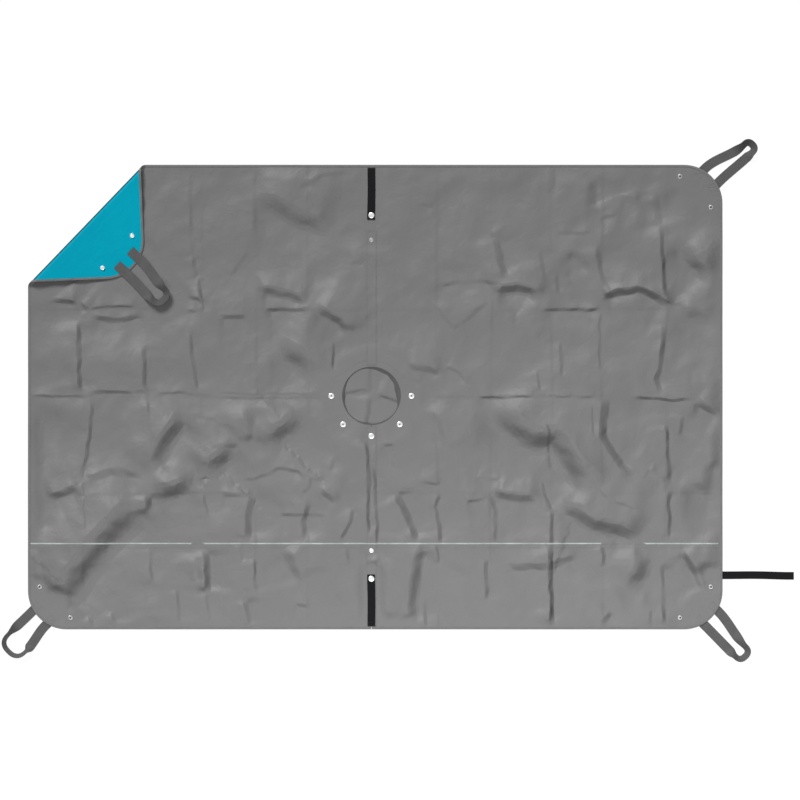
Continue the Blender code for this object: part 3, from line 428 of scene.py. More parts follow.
def piece(name, spots, faces, flat, materials, thickness=0.0, **marks):
    """A piece of the mat: its mesh, its flat places as a UV map, its thickness and marks."""
    mesh = bpy.data.meshes.new(name)
    mesh.from_pydata(np.asarray(spots).tolist(), [], [list(map(int, face)) for face in faces])
    corners = np.empty(len(mesh.loops), int)
    mesh.loops.foreach_get("vertex_index", corners)
    places = mesh.uv_layers.new(name="flat")
    places.uv.foreach_set("vector", np.asarray(flat, np.float32)[corners].ravel())
    for mark, values in marks.items():
        mesh.attributes.new(mark, "FLOAT", "POINT").data.foreach_set("value", values.astype("f"))
    for material in materials:
        mesh.materials.append(material)
    item = bpy.data.objects.new(name, mesh)
    bpy.context.scene.collection.objects.link(item)
    if thickness:
        shell = item.modifiers.new("thickness", "SOLIDIFY")
        shell.thickness = thickness
        shell.offset = 0
        shell.use_even_offset = True
        shell.material_offset = len(materials) - 1
    return baked(item)


def baked(item):
    """Turn an object's modifiers into plain faces, smooth but for its sharp edges."""
    seen = item.evaluated_get(bpy.context.evaluated_depsgraph_get())
    mesh = bpy.data.meshes.new_from_object(seen)
    item.modifiers.clear()
    old, item.data = item.data, mesh
    bpy.data.meshes.remove(old)
    mesh.name = item.name
    mesh.shade_smooth()
    mesh.set_sharp_from_angle(angle=math.radians(48))
    return item


def cloth(name, outline, lift, step=CLOTH_STEP, lines=(), shape=relief):
    """A piece of laminated cloth, from its flat outline to where it lies."""
    flat, faces = filled(outline, step, lines)
    x, y = flat.T
    spots = folded(x, y, lift + shape(x, y))
    rise = 0.001 * loose(x, y) if shape is relief else shape(x, y)
    return piece(name, spots, faces, flat, [GREY_CLOTH, TEAL_CLOTH], SHEET_THICKNESS, rise=rise)


def linear(shade):
    """A colour written as sRGB hex, as the linear numbers that a shader takes."""
    parts = [int(shade[i : i + 2], 16) / 255 for i in (1, 3, 5)]
    return (*[c / 12.92 if c <= 0.04045 else ((c + 0.055) / 1.055) ** 2.4 for c in parts], 1.0)


def plug(node, sockets):
    """Give a node's sockets plain values, or links from other nodes' outputs."""
    for name, value in sockets.items():
        if isinstance(value, bpy.types.NodeSocket):
            node.id_data.links.new(value, node.inputs[name])
        else:
            node.inputs[name].default_value = value


def add_node(tree, kind, sockets=None, out=0, **settings):
    """Add a node with its settings and links, and give one of its outputs, or the node."""
    node = tree.nodes.new(kind)
    for name, value in settings.items():
        setattr(node, name, value)
    plug(node, sockets or {})
    return node if out is None else node.outputs[out]


def new_material(name, roughness, metallic=0.0, gloss=0.5):
    """A named material, with its node tree and its Principled shader."""
    material = bpy.data.materials.new(name)
    material.use_nodes = True
    shader = material.node_tree.nodes["Principled BSDF"]
    plug(shader, {"Roughness": roughness, "Metallic": metallic, "Specular IOR Level": gloss})
    return material, material.node_tree, shader


def mottled(tree, place, deep, pale, **noise):
    """Cloudy noise, and a colour that drifts with it between two shades."""
    cloud = add_node(tree, "ShaderNodeTexNoise", {"Vector": place, **noise})
    shades = {0: cloud, 6: linear(deep), 7: linear(pale)}
    return cloud, add_node(tree, "ShaderNodeMix", shades, 2, data_type="RGBA")


def weave_of(tree, place, apart_x, apart_y, **wave):
    """Two sets of threads that cross, from how far apart they lie in metres."""
    threads = {}
    for way, apart in (("X", apart_x), ("Y", apart_y)):
        bands = {"Vector": place, "Scale": WAVE_PERIOD / apart, **wave}
        bands = add_node(tree, "ShaderNodeTexWave", bands, "Fac", bands_direction=way)
        threads[len(threads)] = bands
    return add_node(tree, "ShaderNodeMath", threads, operation="MULTIPLY")


def laminated_cloth(name, deep, pale, roughness, gloss):
    """Woven polyester with a thin laminate pressed on: a soft satin face with the weave
    showing through it, small crumples that catch the light, and slightly uneven colour."""
    material, tree, shader = new_material(name, roughness, gloss=gloss)
    place = add_node(tree, "ShaderNodeUVMap", uv_map="flat")
    colour = mottled(tree, place, deep, pale, Scale=6.0, Detail=5.0, Roughness=0.6)[1]
    # Painted shade: where the cloth turns round the roll, its colour is pulled towards a near-black
    # teal along the outer bend
    bent = add_node(tree, "ShaderNodeAttribute", out="Fac", attribute_name="bent")
    colour = {0: bent, 6: colour, 7: linear("#1c2729")}
    colour = add_node(tree, "ShaderNodeMix", colour, 2, data_type="RGBA")
    # The creases' edges are sharper than the mesh can draw them
    sharp = add_node(tree, "ShaderNodeAttribute", out="Fac", attribute_name="rise")
    crumple = {"Vector": place, "Scale": 26.0, "Detail": 6.0, "Roughness": 0.62, "Distortion": 0.8}
    crumple = add_node(tree, "ShaderNodeTexNoise", crumple)
    # Threads lie 0.8 mm apart in the real cloth; drawn 1.6 mm apart, so that they show
    weave = weave_of(tree, place, 0.0016, 0.0016)
    below = {}
    for strength, reach, height in ((1.0, 0.9, sharp), (0.55, 0.003, crumple), (0.25, 0.0002, weave)):
        bump = {"Strength": strength, "Distance": reach, "Height": height, **below}
        below = {"Normal": add_node(tree, "ShaderNodeBump", bump)}
    plug(shader, {"Base Color": colour, **below})
    return material


# A wave texture at scale 1 repeats after this many metres
WAVE_PERIOD = 0.314
GREY_CLOTH = laminated_cloth("laminated_polyester_grey", "#6a6a6a", "#757575", 0.50, 0.35)
TEAL_CLOTH = laminated_cloth("laminated_polyester_teal", "#0098b2", "#00adc8", 0.55, 0.06)

crease_rows = []
for number, place in enumerate(PACKED_ACROSS):
    run = np.arange(-0.595, 0.60, CREASE_STEP)
    for side in (-0.0035, 0.0035):
        crease_rows.append(list(zip(place + wander(run, number) + side, run)))
for number, place in enumerate(PACKED_ALONG, 20):
    run = np.arange(-0.895, 0.895, CREASE_STEP)
    for side in (-0.0035, 0.0035):
        crease_rows.append(list(zip(run, place + wander(run, number) + side)))
crease_rows = rows_along(FOLDS) + crease_rows

half_x, half_y = HALF_LENGTH - EDGE_INSET, HALF_DEPTH - EDGE_INSET
lap_x, lap_y, lap_end = HALF_LENGTH - LAP_INSET, SEAM_Y + LAP_INSET, SEAM_Y - LAP_DEPTH
under_lap = SEAM_Y - SHEET_THICKNESS
slit_turn = math.degrees(math.asin(SLIT_HALF / HOLE_RADIUS))
panel = [(fold_x(0, half_y), half_y)] + rounded(1, 1, 90, 0) + [(half_x, under_lap), (lap_x, under_lap)]
panel += [(lap_x, lap_end), (LINE_X + SLIT_HALF, lap_end)]
panel += arc((LINE_X, HOLE_Y), HOLE_RADIUS, -90 + slit_turn, 270 - slit_turn, 64)
panel += [(LINE_X - SLIT_HALF, lap_end), (-lap_x, lap_end), (-lap_x, under_lap), (-half_x, under_lap)]
panel += [(-half_x, fold_y(0, -half_x))]
on_panel = [[p for p in row if p[1] > lap_end] for row in crease_rows]
main_sheet = cloth("main_sheet", panel, 0, lines=on_panel)
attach(main_sheet, "mat")
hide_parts("main_panel")

# The back left corner of the same sheet is turned over. The cloth rolls through a half turn
# with no sharp crease, and lies teal side up, with faint streaks along the fold.
FLAP_STREAK = 0.0018


def streaks(x, y):
    """The low ripples that the turned cloth shows along its fold, in metres."""
    along = (x - FOLD_START.x) * FOLD_ALONG.x + (y - FOLD_START.y) * FOLD_ALONG.y
    past = -(x - FOLD_START.x) * FOLD_INWARD.x - (y - FOLD_START.y) * FOLD_INWARD.y
    rise = swells(past, 0.16 * along, 0.022, 0.06, 5) * smooth((past - BEND_LENGTH) / 0.03)
    return -FLAP_STREAK * rise * smooth((0.13 - past) / 0.04 + 0.4)


def strip(name, rows, flat_rows, materials, thickness, **marks):
    """A strip from rows of points, each row lying across it, the first of them at its left."""
    count = len(rows[0])
    faces = [(i * count + j, i * count + j + 1, (i + 1) * count + j + 1, (i + 1) * count + j)
             for i in range(len(rows) - 1) for j in range(count - 1)]
    spots = np.array(rows, float).reshape(-1, 3)
    flat = np.array(flat_rows, float).reshape(-1, 2)
    return piece(name, spots, faces, flat, materials, thickness, **marks)


roll_rows = []
for past in np.linspace(0, BEND_LENGTH, 25):
    left, back = Vector((-half_x, fold_y(past, -half_x))), Vector((fold_x(past, half_y), half_y))
    roll_rows.append([left.lerp(back, i / 64) for i in range(65)])
spots = folded(*np.array(roll_rows).reshape(-1, 2).T, 0.0).reshape(25, 65, 3)
turn = np.repeat(np.linspace(0, math.pi + SAG, 25), 65)
# Painted shade: a dark line along the roll's outer bend
bent = 0.95 * smooth((turn - 0.5) / 0.4) * smooth((2.7 - turn) / 0.4)
sides = [GREY_CLOTH, TEAL_CLOTH]
rolled_cloth = strip("rolled_cloth", spots, roll_rows, sides, SHEET_THICKNESS, bent=bent)
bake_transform(rolled_cloth)
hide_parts("corner_bend")

flap = [(-half_x, fold_y(BEND_LENGTH, -half_x))] + rounded(-1, 1, 180, 90)
flap += [(fold_x(BEND_LENGTH, half_y), half_y)]
turned_corner = cloth("turned_corner", flap, 0, step=0.006, shape=streaks)
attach(turned_corner, "corner")
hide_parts("corner_flap")

# The front strip is a second sheet of the same cloth, lapped on the main one and sewn down.
# It is parted by the slit, and its front 120 mm folds up as a wall. The pale core of the
# laminate shows as a thin line along its cut back edge.
EDGE_WIDTH = 0.0036
RUBBED = ((-0.480, -0.441), (0.583, 0.700))
front_cloths = {}
for side, sign in (("left", -1), ("right", 1)):
    slit = LINE_X + sign * SLIT_HALF
    sheet = [(sign * half_x, SEAM_Y), (slit, SEAM_Y), (slit, -half_y)]
    sheet += rounded(sign, -1, -90, -90 + sign * 90)
    front_cloths[side] = cloth(f"front_cloth_{side}", sheet, LAYER_STEP, lines=crease_rows)
    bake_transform(front_cloths[side])
    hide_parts(f"front_strip_{side}", f"front_wall_{side}")

CUT_EDGE, tree, shader = new_material("cut_edge_of_laminate", 0.6)
place = add_node(tree, "ShaderNodeUVMap", uv_map="flat")
worn = {"Vector": place, "Scale": 16.0, "Detail": 3.0, "Roughness": 0.6}
worn = add_node(tree, "ShaderNodeTexNoise", worn)
worn = add_node(tree, "ShaderNodeMapRange", {0: worn, 1: 0.38, 2: 0.62})
core = {0: worn, 6: linear("#8b9391"), 7: linear("#a9b5b2")}
plug(shader, {"Base Color": add_node(tree, "ShaderNodeMix", core, 2, data_type="RGBA")})

run = np.arange(-half_x + 0.006, half_x - 0.005, 0.006)
on_band = smooth((0.0165 - np.abs(run - LINE_X)) / 0.002)
rubbed = sum(smooth(np.minimum(run - a, b - run) / 0.006) for a, b in RUBBED)
levels = [(0.3 * EDGE_WIDTH, 0.0008), (-0.2 * EDGE_WIDTH, 0.0014), (-0.7 * EDGE_WIDTH, 0.0014)]
spots = []
for off, rise in levels:
    across = np.full_like(run, SEAM_Y + off)
    lift = rise + on_band * LAYER_STEP - 0.0011 * rubbed + relief(run, across)
    spots.append(folded(run, across, lift))
rows, flat_rows = np.stack(spots, axis=1), [[(x, off) for off, _ in levels] for x in run]
cut_edge = strip("lap_cut_edge", rows, flat_rows, [CUT_EDGE], 0.0004)
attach(cut_edge, "mat")

# The tape on the back half of the centre line covers a seam, and the band on its front half
# covers the slit. Both are strips of the same cloth, sewn down along their edges.
BAND_WIDTH = 0.027
TAPE_ENDS, BAND_ENDS = (0.431, 0.083), (-0.077, -0.5955)


def band_lift(y):
    """How far the strip on the centre line lies above the main sheet."""
    return LAYER_STEP * (1 + smooth((SEAM_Y + 0.008 - y) / 0.006))


def centre_strip(name, back, front):
    """A strip of cloth on the centre line, from its back end to its front end."""
    y = np.linspace(front, back, round((back - front) / 0.005))
    x, y = np.meshgrid(LINE_X + np.linspace(-BAND_WIDTH / 2, BAND_WIDTH / 2, 11), y)
    rise = 0.001 * loose(x, y)
    rows, flat_rows = folded(x, y, band_lift(y) + relief(x, y)), np.stack([x, y], axis=-1)
    return strip(name, rows, flat_rows, [GREY_CLOTH], SHEET_THICKNESS, rise=rise.ravel())


centre_tape = centre_strip("centre_tape", *TAPE_ENDS)
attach(centre_tape, "mat")
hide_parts("back_seam_tape")
slit_cover = centre_strip("slit_cover", *BAND_ENDS)
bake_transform(slit_cover)
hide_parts("slit_band", "slit_band_wall")

# The hem is a soft woven tape, folded round the raw edge of the cloth and sewn through. It
# goes all round the mat, over the roll and round the turned corner, and parts at the slit.
HEM_WIDTH, HEM_RISE, HEM_THICKNESS = 0.006, 0.00085, 0.0005


def woven_tape(name, deep, pale, roughness, rib, across, gloss=0.4):
    """Woven from thick yarn, so it is matt, with ribs along it and picks across it."""
    material, tree, shader = new_material(name, roughness, gloss=gloss)
    place = add_node(tree, "ShaderNodeUVMap", uv_map="flat")
    weave = weave_of(tree, place, across, rib, Distortion=0.6, Detail=1.0)
    wear = add_node(tree, "ShaderNodeTexNoise", {"Vector": place, "Scale": 40.0, "Detail": 4.0})
    both = add_node(tree, "ShaderNodeMath", {0: weave, 1: wear}, operation="ADD", use_clamp=True)
    shades = {0: both, 6: linear(deep), 7: linear(pale)}
    colour = add_node(tree, "ShaderNodeMix", shades, 2, data_type="RGBA")
    bump = {"Strength": 0.8, "Distance": 0.0004, "Height": weave}
    plug(shader, {"Base Color": colour, "Normal": add_node(tree, "ShaderNodeBump", bump)})
    return material


# Ribs and picks 1.5 mm apart, as in a bias tape of this width
HEM_TAPE = woven_tape("woven_polyester_hem_tape", "#666666", "#7b7b7b", 0.75, 0.0015, 0.0015)


def edge_path(*stretches):
    """Points and outward headings along the mat's outline, clockwise. A straight stretch has
    its start, its end and its heading, and a round one its centre and its two headings."""
    points = []
    for start, end, facing in stretches:
        if end:
            out = math.cos(math.radians(facing)), math.sin(math.radians(facing))
            points += [(x, y, *out) for x, y in stepped([start, end], 0.008)]
        else:
            outs = np.radians(np.linspace(*facing, 17))
            rim = arc(start, CORNER_RADIUS, *facing)
            points += [(x, y, math.cos(a), math.sin(a)) for (x, y), a in zip(rim, outs)]
    pairs = zip(points, [(math.inf, 0)] + points)
    return [here for here, before in pairs if math.dist(here[:2], before[:2]) > 1e-6]


def hem(name, path, material, shape=relief):
    """A hem along a path of places and headings, folded with the cloth that it binds."""
    section = [
        (-HEM_WIDTH, -HEM_RISE), (-HEM_WIDTH / 2, -HEM_RISE), (-0.0007, -HEM_RISE),
        (-0.00035, -0.6 * HEM_RISE), (-0.00025, 0), (-0.00035, 0.6 * HEM_RISE),
        (-0.0007, HEM_RISE), (-HEM_WIDTH / 2, HEM_RISE), (-HEM_WIDTH, HEM_RISE),
    ]
    outs, rises = np.array(section).T
    rows, flat_rows, run = [], [], 0.0
    x, y, out_x, out_y = np.array(path).T
    near = shape(x - 0.001 * out_x, y - 0.001 * out_y) + LAYER_STEP * smooth((lap_y - y) / 0.006)
    for here, before, level in zip(path, path[:1] + path, near):
        x, y, out_x, out_y = here
        run += math.dist(here[:2], before[:2])
        rows.append(folded(x + out_x * outs, y + out_y * outs, level + rises))
        flat_rows.append([(run, value) for value in np.linspace(0, 2 * HEM_WIDTH, 9)])
    return strip(name, rows, flat_rows, [material], HEM_THICKNESS)


inner_x, inner_y = HALF_LENGTH - CORNER_RADIUS, HALF_DEPTH - CORNER_RADIUS
roll_back, roll_left = fold_x(0, HALF_DEPTH), fold_y(0, -HALF_LENGTH)
wall_end_y = WALL_Y + 0.02
flap_back, flap_left = fold_x(BEND_LENGTH, HALF_DEPTH), fold_y(BEND_LENGTH, -HALF_LENGTH)
hem_paths = {
    "hem_right": [((roll_back, HALF_DEPTH), (inner_x, HALF_DEPTH), 90),
                  ((inner_x, inner_y), None, (90, 0)),
                  ((HALF_LENGTH, inner_y), (HALF_LENGTH, wall_end_y), 0)],
    "hem_front_right": [((HALF_LENGTH, wall_end_y), (HALF_LENGTH, -inner_y), 0),
                        ((inner_x, -inner_y), None, (0, -90)),
                        ((inner_x, -HALF_DEPTH), (LINE_X + SLIT_HALF, -HALF_DEPTH), -90)],
    "hem_front_left": [((LINE_X - SLIT_HALF, -HALF_DEPTH), (-inner_x, -HALF_DEPTH), -90),
                       ((-inner_x, -inner_y), None, (-90, -180)),
                       ((-HALF_LENGTH, -inner_y), (-HALF_LENGTH, wall_end_y), 180)],
    "hem_back_left": [((-HALF_LENGTH, wall_end_y), (-HALF_LENGTH, roll_left), 180)],
    "hem_roll_left": [((-HALF_LENGTH, roll_left), (-HALF_LENGTH, flap_left), 180)],
    "hem_turned": [((-HALF_LENGTH, flap_left), (-HALF_LENGTH, inner_y), 180),
                   ((-inner_x, inner_y), None, (180, 90)),
                   ((-inner_x, HALF_DEPTH), (flap_back, HALF_DEPTH), 90)],
    "hem_roll_back": [((flap_back, HALF_DEPTH), (roll_back, HALF_DEPTH), 90)],
}
hem_nodes = {
    "hem_right": ("hem_back_right",), "hem_back_left": ("hem_left",), "hem_turned": ("hem_flap",),
    "hem_front_right": ("hem_wall_right",), "hem_front_left": ("hem_wall_left",),
    "hem_roll_left": (), "hem_roll_back": (),
}
hems = {}
for name, corners in hem_paths.items():
    path = edge_path(*corners)
    if "roll" in name:
        ends = [np.array(path[0]), np.array(path[-1])]
        path = [tuple(ends[0] + (ends[1] - ends[0]) * i / 18) for i in range(19)]
    turned = "roll" in name or "turned" in name
    hems[name] = hem(name, path, HEM_TAPE, streaks if turned else relief)
    if "front" in name:
        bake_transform(hems[name])
    elif "roll" in name:
        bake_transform(hems[name])
    else:
        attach(hems[name], "corner" if name == "hem_turned" else "mat")
    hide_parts(*hem_nodes[name])

# The hole's raw edge is turned in and bound with a tape. Its dark grey, and the crescent in
# which it widens on the right, are painted shadow: the shade that falls into the hole under its
# rim. The round patch closes the hole from below: it hangs from its studs, and its middle lies
# on the floor with the cross of its own packing creases.
PATCH_RADIUS, PATCH_SEAM = 0.122, 0.092
PATCH_DROP, PATCH_RIM, PATCH_SLOPE, PATCH_DOME = 0.0044, 0.0029, 0.010, 0.0034
# How wide the tape's painted shadow is drawn, in millimetres, at each angle round the hole
TAPE_ANGLES = (-90, -80, -60, -38, -22, -12, 0, 20, 40, 60, 78, 95, 110, 135, 152, 165, 180, 195,
               215, 240, 252, 262, 270)
RIM_SHADOW_SHOWN = (2.4, 1.2, 1.8, 0.6, 2.2, 6.5, 11, 11.5, 9, 7, 5, 3.4, 0.9, 0.4, 2.6, 6, 6.5, 4, 1.2,
              1.2, 3.8, 3.2, 2.4)
PATCH_FOLDS = (
    ((0, 6, 30, -3, 70, -12), 20, 0.42), ((-95, 15, -50, 15, -12, 17), 12, 0.20),
    ((-14, 4, -18, -30, -26, -80), 13, 0.18), ((-12, 90, -13, 10), 10, 0.12),
)
rows, flat_rows = [], []
for angle in np.linspace(-90 + slit_turn, 270 - slit_turn, 121):
    out = np.array([math.cos(math.radians(angle)), math.sin(math.radians(angle))])
    wide = 0.001 * np.interp(angle, TAPE_ANGLES, RIM_SHADOW_SHOWN)
    wide *= 1 + 0.16 * math.sin(math.radians(9 * angle)) * math.sin(math.radians(4 * angle))
    radii = HOLE_RADIUS + np.array([0.0002 + 0.1 * wide, 0.0002, -0.2 * wide, -wide])
    lift = np.array([0.0006, 0.0005, 0.0001, -0.0010])
    x, y = LINE_X + out[0] * radii, HOLE_Y + out[1] * radii
    rows.append(folded(x, y, lift + relief(x, y)))
    flat_rows.append([(math.radians(angle) * HOLE_RADIUS, r) for r in radii])
# Painted shadow: the tape's dark grey stands for the shade under the hole's rim
RIM_SHADOW_TAPE = woven_tape("woven_polyester_edge_tape", "#3c3c3c", "#565656", 0.75, 0.0015, 0.0015)
hole_edge = strip("hole_edge_tape", rows, flat_rows, [RIM_SHADOW_TAPE], 0.0004)
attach(hole_edge, "mat")


def patch_shape(x, y):
    """The patch's drop below the main sheet, from its rim to its middle on the floor."""
    off_x, off_y = x - LINE_X, y - HOLE_Y
    middle = smooth((HOLE_RADIUS + PATCH_SLOPE - np.hypot(off_x, off_y)) / PATCH_SLOPE)
    dome = 0.0013 + 0.0006 * swells(x, y, 0.03, 0.09, 21) + 0.001 * kept_folds(PATCH_FOLDS, x, y)
    # It bulges up to the hole's edge at the back left and the front right
    turn = np.cos(2 * (np.arctan2(off_y, off_x) - math.radians(134)))
    dome += 0.0012 * np.maximum(turn, 0) * smooth((np.hypot(off_x, off_y) - 0.045) / 0.03)
    dome = PATCH_DOME * np.tanh(np.maximum(dome, 0) / PATCH_DOME)
    return -PATCH_RIM - (PATCH_DROP - PATCH_RIM) * middle + middle * dome


seam_start = math.degrees(math.asin(PATCH_SEAM / PATCH_RADIUS))
patch = arc((LINE_X, HOLE_Y), PATCH_RADIUS, seam_start, -180 - seam_start, 72)
patch_rows = rows_along(PATCH_FOLDS)
patch_cloth = cloth("patch_cloth", patch, 0, step=0.004, lines=patch_rows, shape=patch_shape)
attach(patch_cloth, "patch")
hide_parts("hole_patch")

# Press studs of nickel-plated brass clip the mat together: caps with a rolled rim and an
# open eyelet above, sockets or knobs below, riveted through the cloth.
CAP_RADIUS, CAP_HEIGHT, NECK_RADIUS = 0.0076, 0.0015, 0.0026
FLANGE_RADIUS, FLANGE_HEIGHT, KNOB_RADIUS, KNOB_HEIGHT = 0.0056, 0.0007, 0.0016, 0.0020
SOCKET_FACE, LAYER_GAP, TOP = 0.0034, 0.0003, 0.0003


def plated(name, deep, pale, polish):
    """Nickel plating on pressed brass: bright where it is polished, grey where it has worn."""
    material, tree, shader = new_material(name, 0.3, 1.0)
    place = add_node(tree, "ShaderNodeTexCoord", out="Object")
    tarnish, colour = mottled(tree, place, deep, pale, Scale=420.0, Detail=4.0)
    rough = add_node(tree, "ShaderNodeMapRange", {0: tarnish, 3: polish, 4: polish + 0.16})
    plug(shader, {"Base Color": colour, "Roughness": rough})
    return material


NICKEL = plated("nickel_plated_brass_pressed", "#c4c5c6", "#dcdddd", 0.20)
WORN_NICKEL = plated("nickel_plated_brass_worn", "#777879", "#a5a6a7", 0.34)

# Painted shade: inside the eyelet the brass is drawn dark and dull, for the shade that falls in the
# hollow
HOLLOW_SHADE_BRASS, tree, shader = new_material("bare_brass_dulled", 0.62, 1.0)
place = add_node(tree, "ShaderNodeTexCoord", out="Object")
plug(shader, {"Base Color": mottled(tree, place, "#26241f", "#3b3730", Scale=900.0, Detail=3.0)[1]})


# From the middle outwards, as shares of a cap's radius and of its height
RING_EYELET = [(0, 0.3), (0.05, 0.3), (0.065, 0.6), (0.085, 0.88), (0.25, 0.97)]
CORNER_EYELET = [(0, 0.3), (0.19, 0.3), (0.247, 0.6), (0.323, 0.88), (0.37, 0.98), (0.37, 0.97)]


def cap_up(top, radius, eyelet):
    """A rolled cap above the cloth; the first points of its eyelet are the hollow."""
    foot = top + LAYER_GAP
    roll = [(0.45, 1.0), (0.70, 0.93), (0.85, 0.76), (0.95, 0.50), (1.0, 0.22), (0.97, 0.0)]
    return [(r * radius, foot + h * CAP_HEIGHT) for r, h in eyelet + roll]


def plain_cap_up(top):
    """A plain domed cap above the cloth."""
    foot = top + LAYER_GAP
    shape = [(0, 1.0), (0.3, 0.98), (0.55, 0.93), (0.78, 0.80), (0.92, 0.58), (1.0, 0.28), (0.97, 0)]
    return [(r * CAP_RADIUS, foot + h * CAP_HEIGHT) for r, h in shape]


def knob_up(top):
    """A flange with a rolled rim and a round-headed knob above the cloth."""
    foot = top + LAYER_GAP
    peak, seat = foot + FLANGE_HEIGHT + KNOB_HEIGHT, foot + FLANGE_HEIGHT
    return [(0, peak), (0.6 * KNOB_RADIUS, peak), (KNOB_RADIUS, peak - 0.0004),
            (KNOB_RADIUS, peak - 0.0010), (0.8 * KNOB_RADIUS, seat - 0.0002),
            (0.0030, seat - 0.0003), (0.0042, seat), (0.0050, seat),
            (FLANGE_RADIUS, seat - 0.0003), (0.97 * FLANGE_RADIUS, foot)]


def socket_down(under, end):
    """A spring socket below the cloth, open at its end."""
    bore, roof = KNOB_RADIUS + LAYER_GAP, end + KNOB_HEIGHT
    return [(0.97 * FLANGE_RADIUS, under), (FLANGE_RADIUS, end + 0.0004),
            (0.90 * FLANGE_RADIUS, end + 0.00005), (0.6 * FLANGE_RADIUS, end),
            (bore + 0.0003, end + 0.0001), (bore, end + 0.0005), (bore, roof), (0, roof)]


def knob_down(under, end):
    """A flange and knob below the cloth, pointing down."""
    seat = end + KNOB_HEIGHT
    return [(0.97 * FLANGE_RADIUS, under), (FLANGE_RADIUS, seat + 0.0003),
            (0.0050, seat), (0.0030, seat + 0.0002), (0.8 * KNOB_RADIUS, seat + 0.0002),
            (KNOB_RADIUS, end + 0.0010), (KNOB_RADIUS, end + 0.0004), (0.6 * KNOB_RADIUS, end),
            (0, end)]


def plain_down(under, height, radius):
    """A plain rivet back below the cloth."""
    return [(0.97 * radius, under), (radius, under - 0.4 * height),
            (0.9 * radius, under - height), (0, under - height)]


def turned_stud(upper, lower, hollow):
    """A stud turned from its profile; so many of its first rings are the dark hollow."""
    profile = upper + [(NECK_RADIUS, upper[-1][1]), (NECK_RADIUS, lower[0][1])] + lower
    sides, rings, faces = 24, len(profile) - 2, []
    spots = [(radius * math.cos(angle), radius * math.sin(angle), height)
             for radius, height in profile[1:-1]
             for angle in np.linspace(0, 2 * math.pi, sides, endpoint=False)]
    first, last = len(spots), len(spots) + 1
    spots += [(0, 0, profile[0][1]), (0, 0, profile[-1][1])]
    for i in range(sides):
        after = (i + 1) % sides
        faces.append((first, i, after))
        faces.append((last, (rings - 1) * sides + after, (rings - 1) * sides + i))
        for ring in range(0, (rings - 1) * sides, sides):
            faces.append((ring + i, ring + i + sides, ring + after + sides, ring + after))
    mesh = bpy.data.meshes.new("stud")
    mesh.from_pydata(spots, [], faces)
    dark = mesh.attributes.new("hollow", "BOOLEAN", "FACE")
    for face in mesh.polygons:
        ring = min(v for v in face.vertices if v < first) // sides
        dark.data[face.index].value = ring < hollow
    item = bpy.data.objects.new("stud", mesh)
    bpy.context.scene.collection.objects.link(item)
    return item


def new_tree(name, inputs):
    """A Geometry Nodes tree with named inputs; it returns its tree and the inputs' node."""
    tree = bpy.data.node_groups.new(name, "GeometryNodeTree")
    tree.interface.new_socket("Geometry", in_out="INPUT", socket_type="NodeSocketGeometry")
    for label, kind in inputs:
        tree.interface.new_socket(label, in_out="INPUT", socket_type=kind)
    tree.interface.new_socket("Geometry", in_out="OUTPUT", socket_type="NodeSocketGeometry")
    return tree, add_node(tree, "NodeGroupInput", out=None).outputs


def run_tree(name, spots, edges, tree, values, facing=None):
    """Run a tree on points or lines, and keep its result as a plain mesh."""
    mesh = bpy.data.meshes.new(name)
    mesh.from_pydata([tuple(spot) for spot in spots], edges, [])
    if facing is not None:
        ways = mesh.attributes.new("facing", "FLOAT_VECTOR", "POINT")
        ways.data.foreach_set("vector", np.asarray(facing, np.float32).ravel())
    item = bpy.data.objects.new(name, mesh)
    bpy.context.scene.collection.objects.link(item)
    maker = item.modifiers.new("maker", "NODES")
    maker.node_group = tree
    for socket in tree.interface.items_tree:
        if socket.in_out == "INPUT" and socket.name in values:
            maker[socket.identifier] = values[socket.name]
    return baked(item)


stud_inputs = [("Stud", "NodeSocketObject"), ("Plating", "NodeSocketMaterial"),
               ("Hollow", "NodeSocketMaterial")]
stud_tree, given = new_tree("studs_at_points", stud_inputs)
ways = {"Name": "facing"}
ways = add_node(stud_tree, "GeometryNodeInputNamedAttribute", ways, data_type="FLOAT_VECTOR")
turn = add_node(stud_tree, "FunctionNodeAlignRotationToVector", {"Vector": ways}, axis="Z")
stud = add_node(stud_tree, "GeometryNodeObjectInfo", {"Object": given["Stud"]}, "Geometry")
put = {"Points": given["Geometry"], "Instance": stud, "Rotation": turn}
put = add_node(stud_tree, "GeometryNodeInstanceOnPoints", put)
put = add_node(stud_tree, "GeometryNodeRealizeInstances", {0: put})
put = {"Geometry": put, "Material": given["Plating"]}
put = add_node(stud_tree, "GeometryNodeSetMaterial", put)
dark = {"Name": "hollow"}
dark = add_node(stud_tree, "GeometryNodeInputNamedAttribute", dark, data_type="BOOLEAN")
put = {"Geometry": put, "Selection": dark, "Material": given["Hollow"]}
put = add_node(stud_tree, "GeometryNodeSetMaterial", put)
add_node(stud_tree, "NodeGroupOutput", {0: put}, None)


def studs(name, body, places, lift, upper, lower, nodes, hollow=0, plating=NICKEL):
    """Press studs at flat places of the cloth, each as a level above the main sheet."""
    shape = turned_stud(upper, lower, hollow)
    x, y = np.array(places, float).T
    spots = folded(x, y, np.full(len(x), lift))
    facing = folded(x, y, np.full(len(x), lift + 1.0)) - spots
    values = {"Stud": shape, "Plating": plating, "Hollow": HOLLOW_SHADE_BRASS}
    item = run_tree(name, spots, [], stud_tree, values, facing)
    bpy.data.meshes.remove(shape.data)
    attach(item, body)
    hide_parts(*nodes)


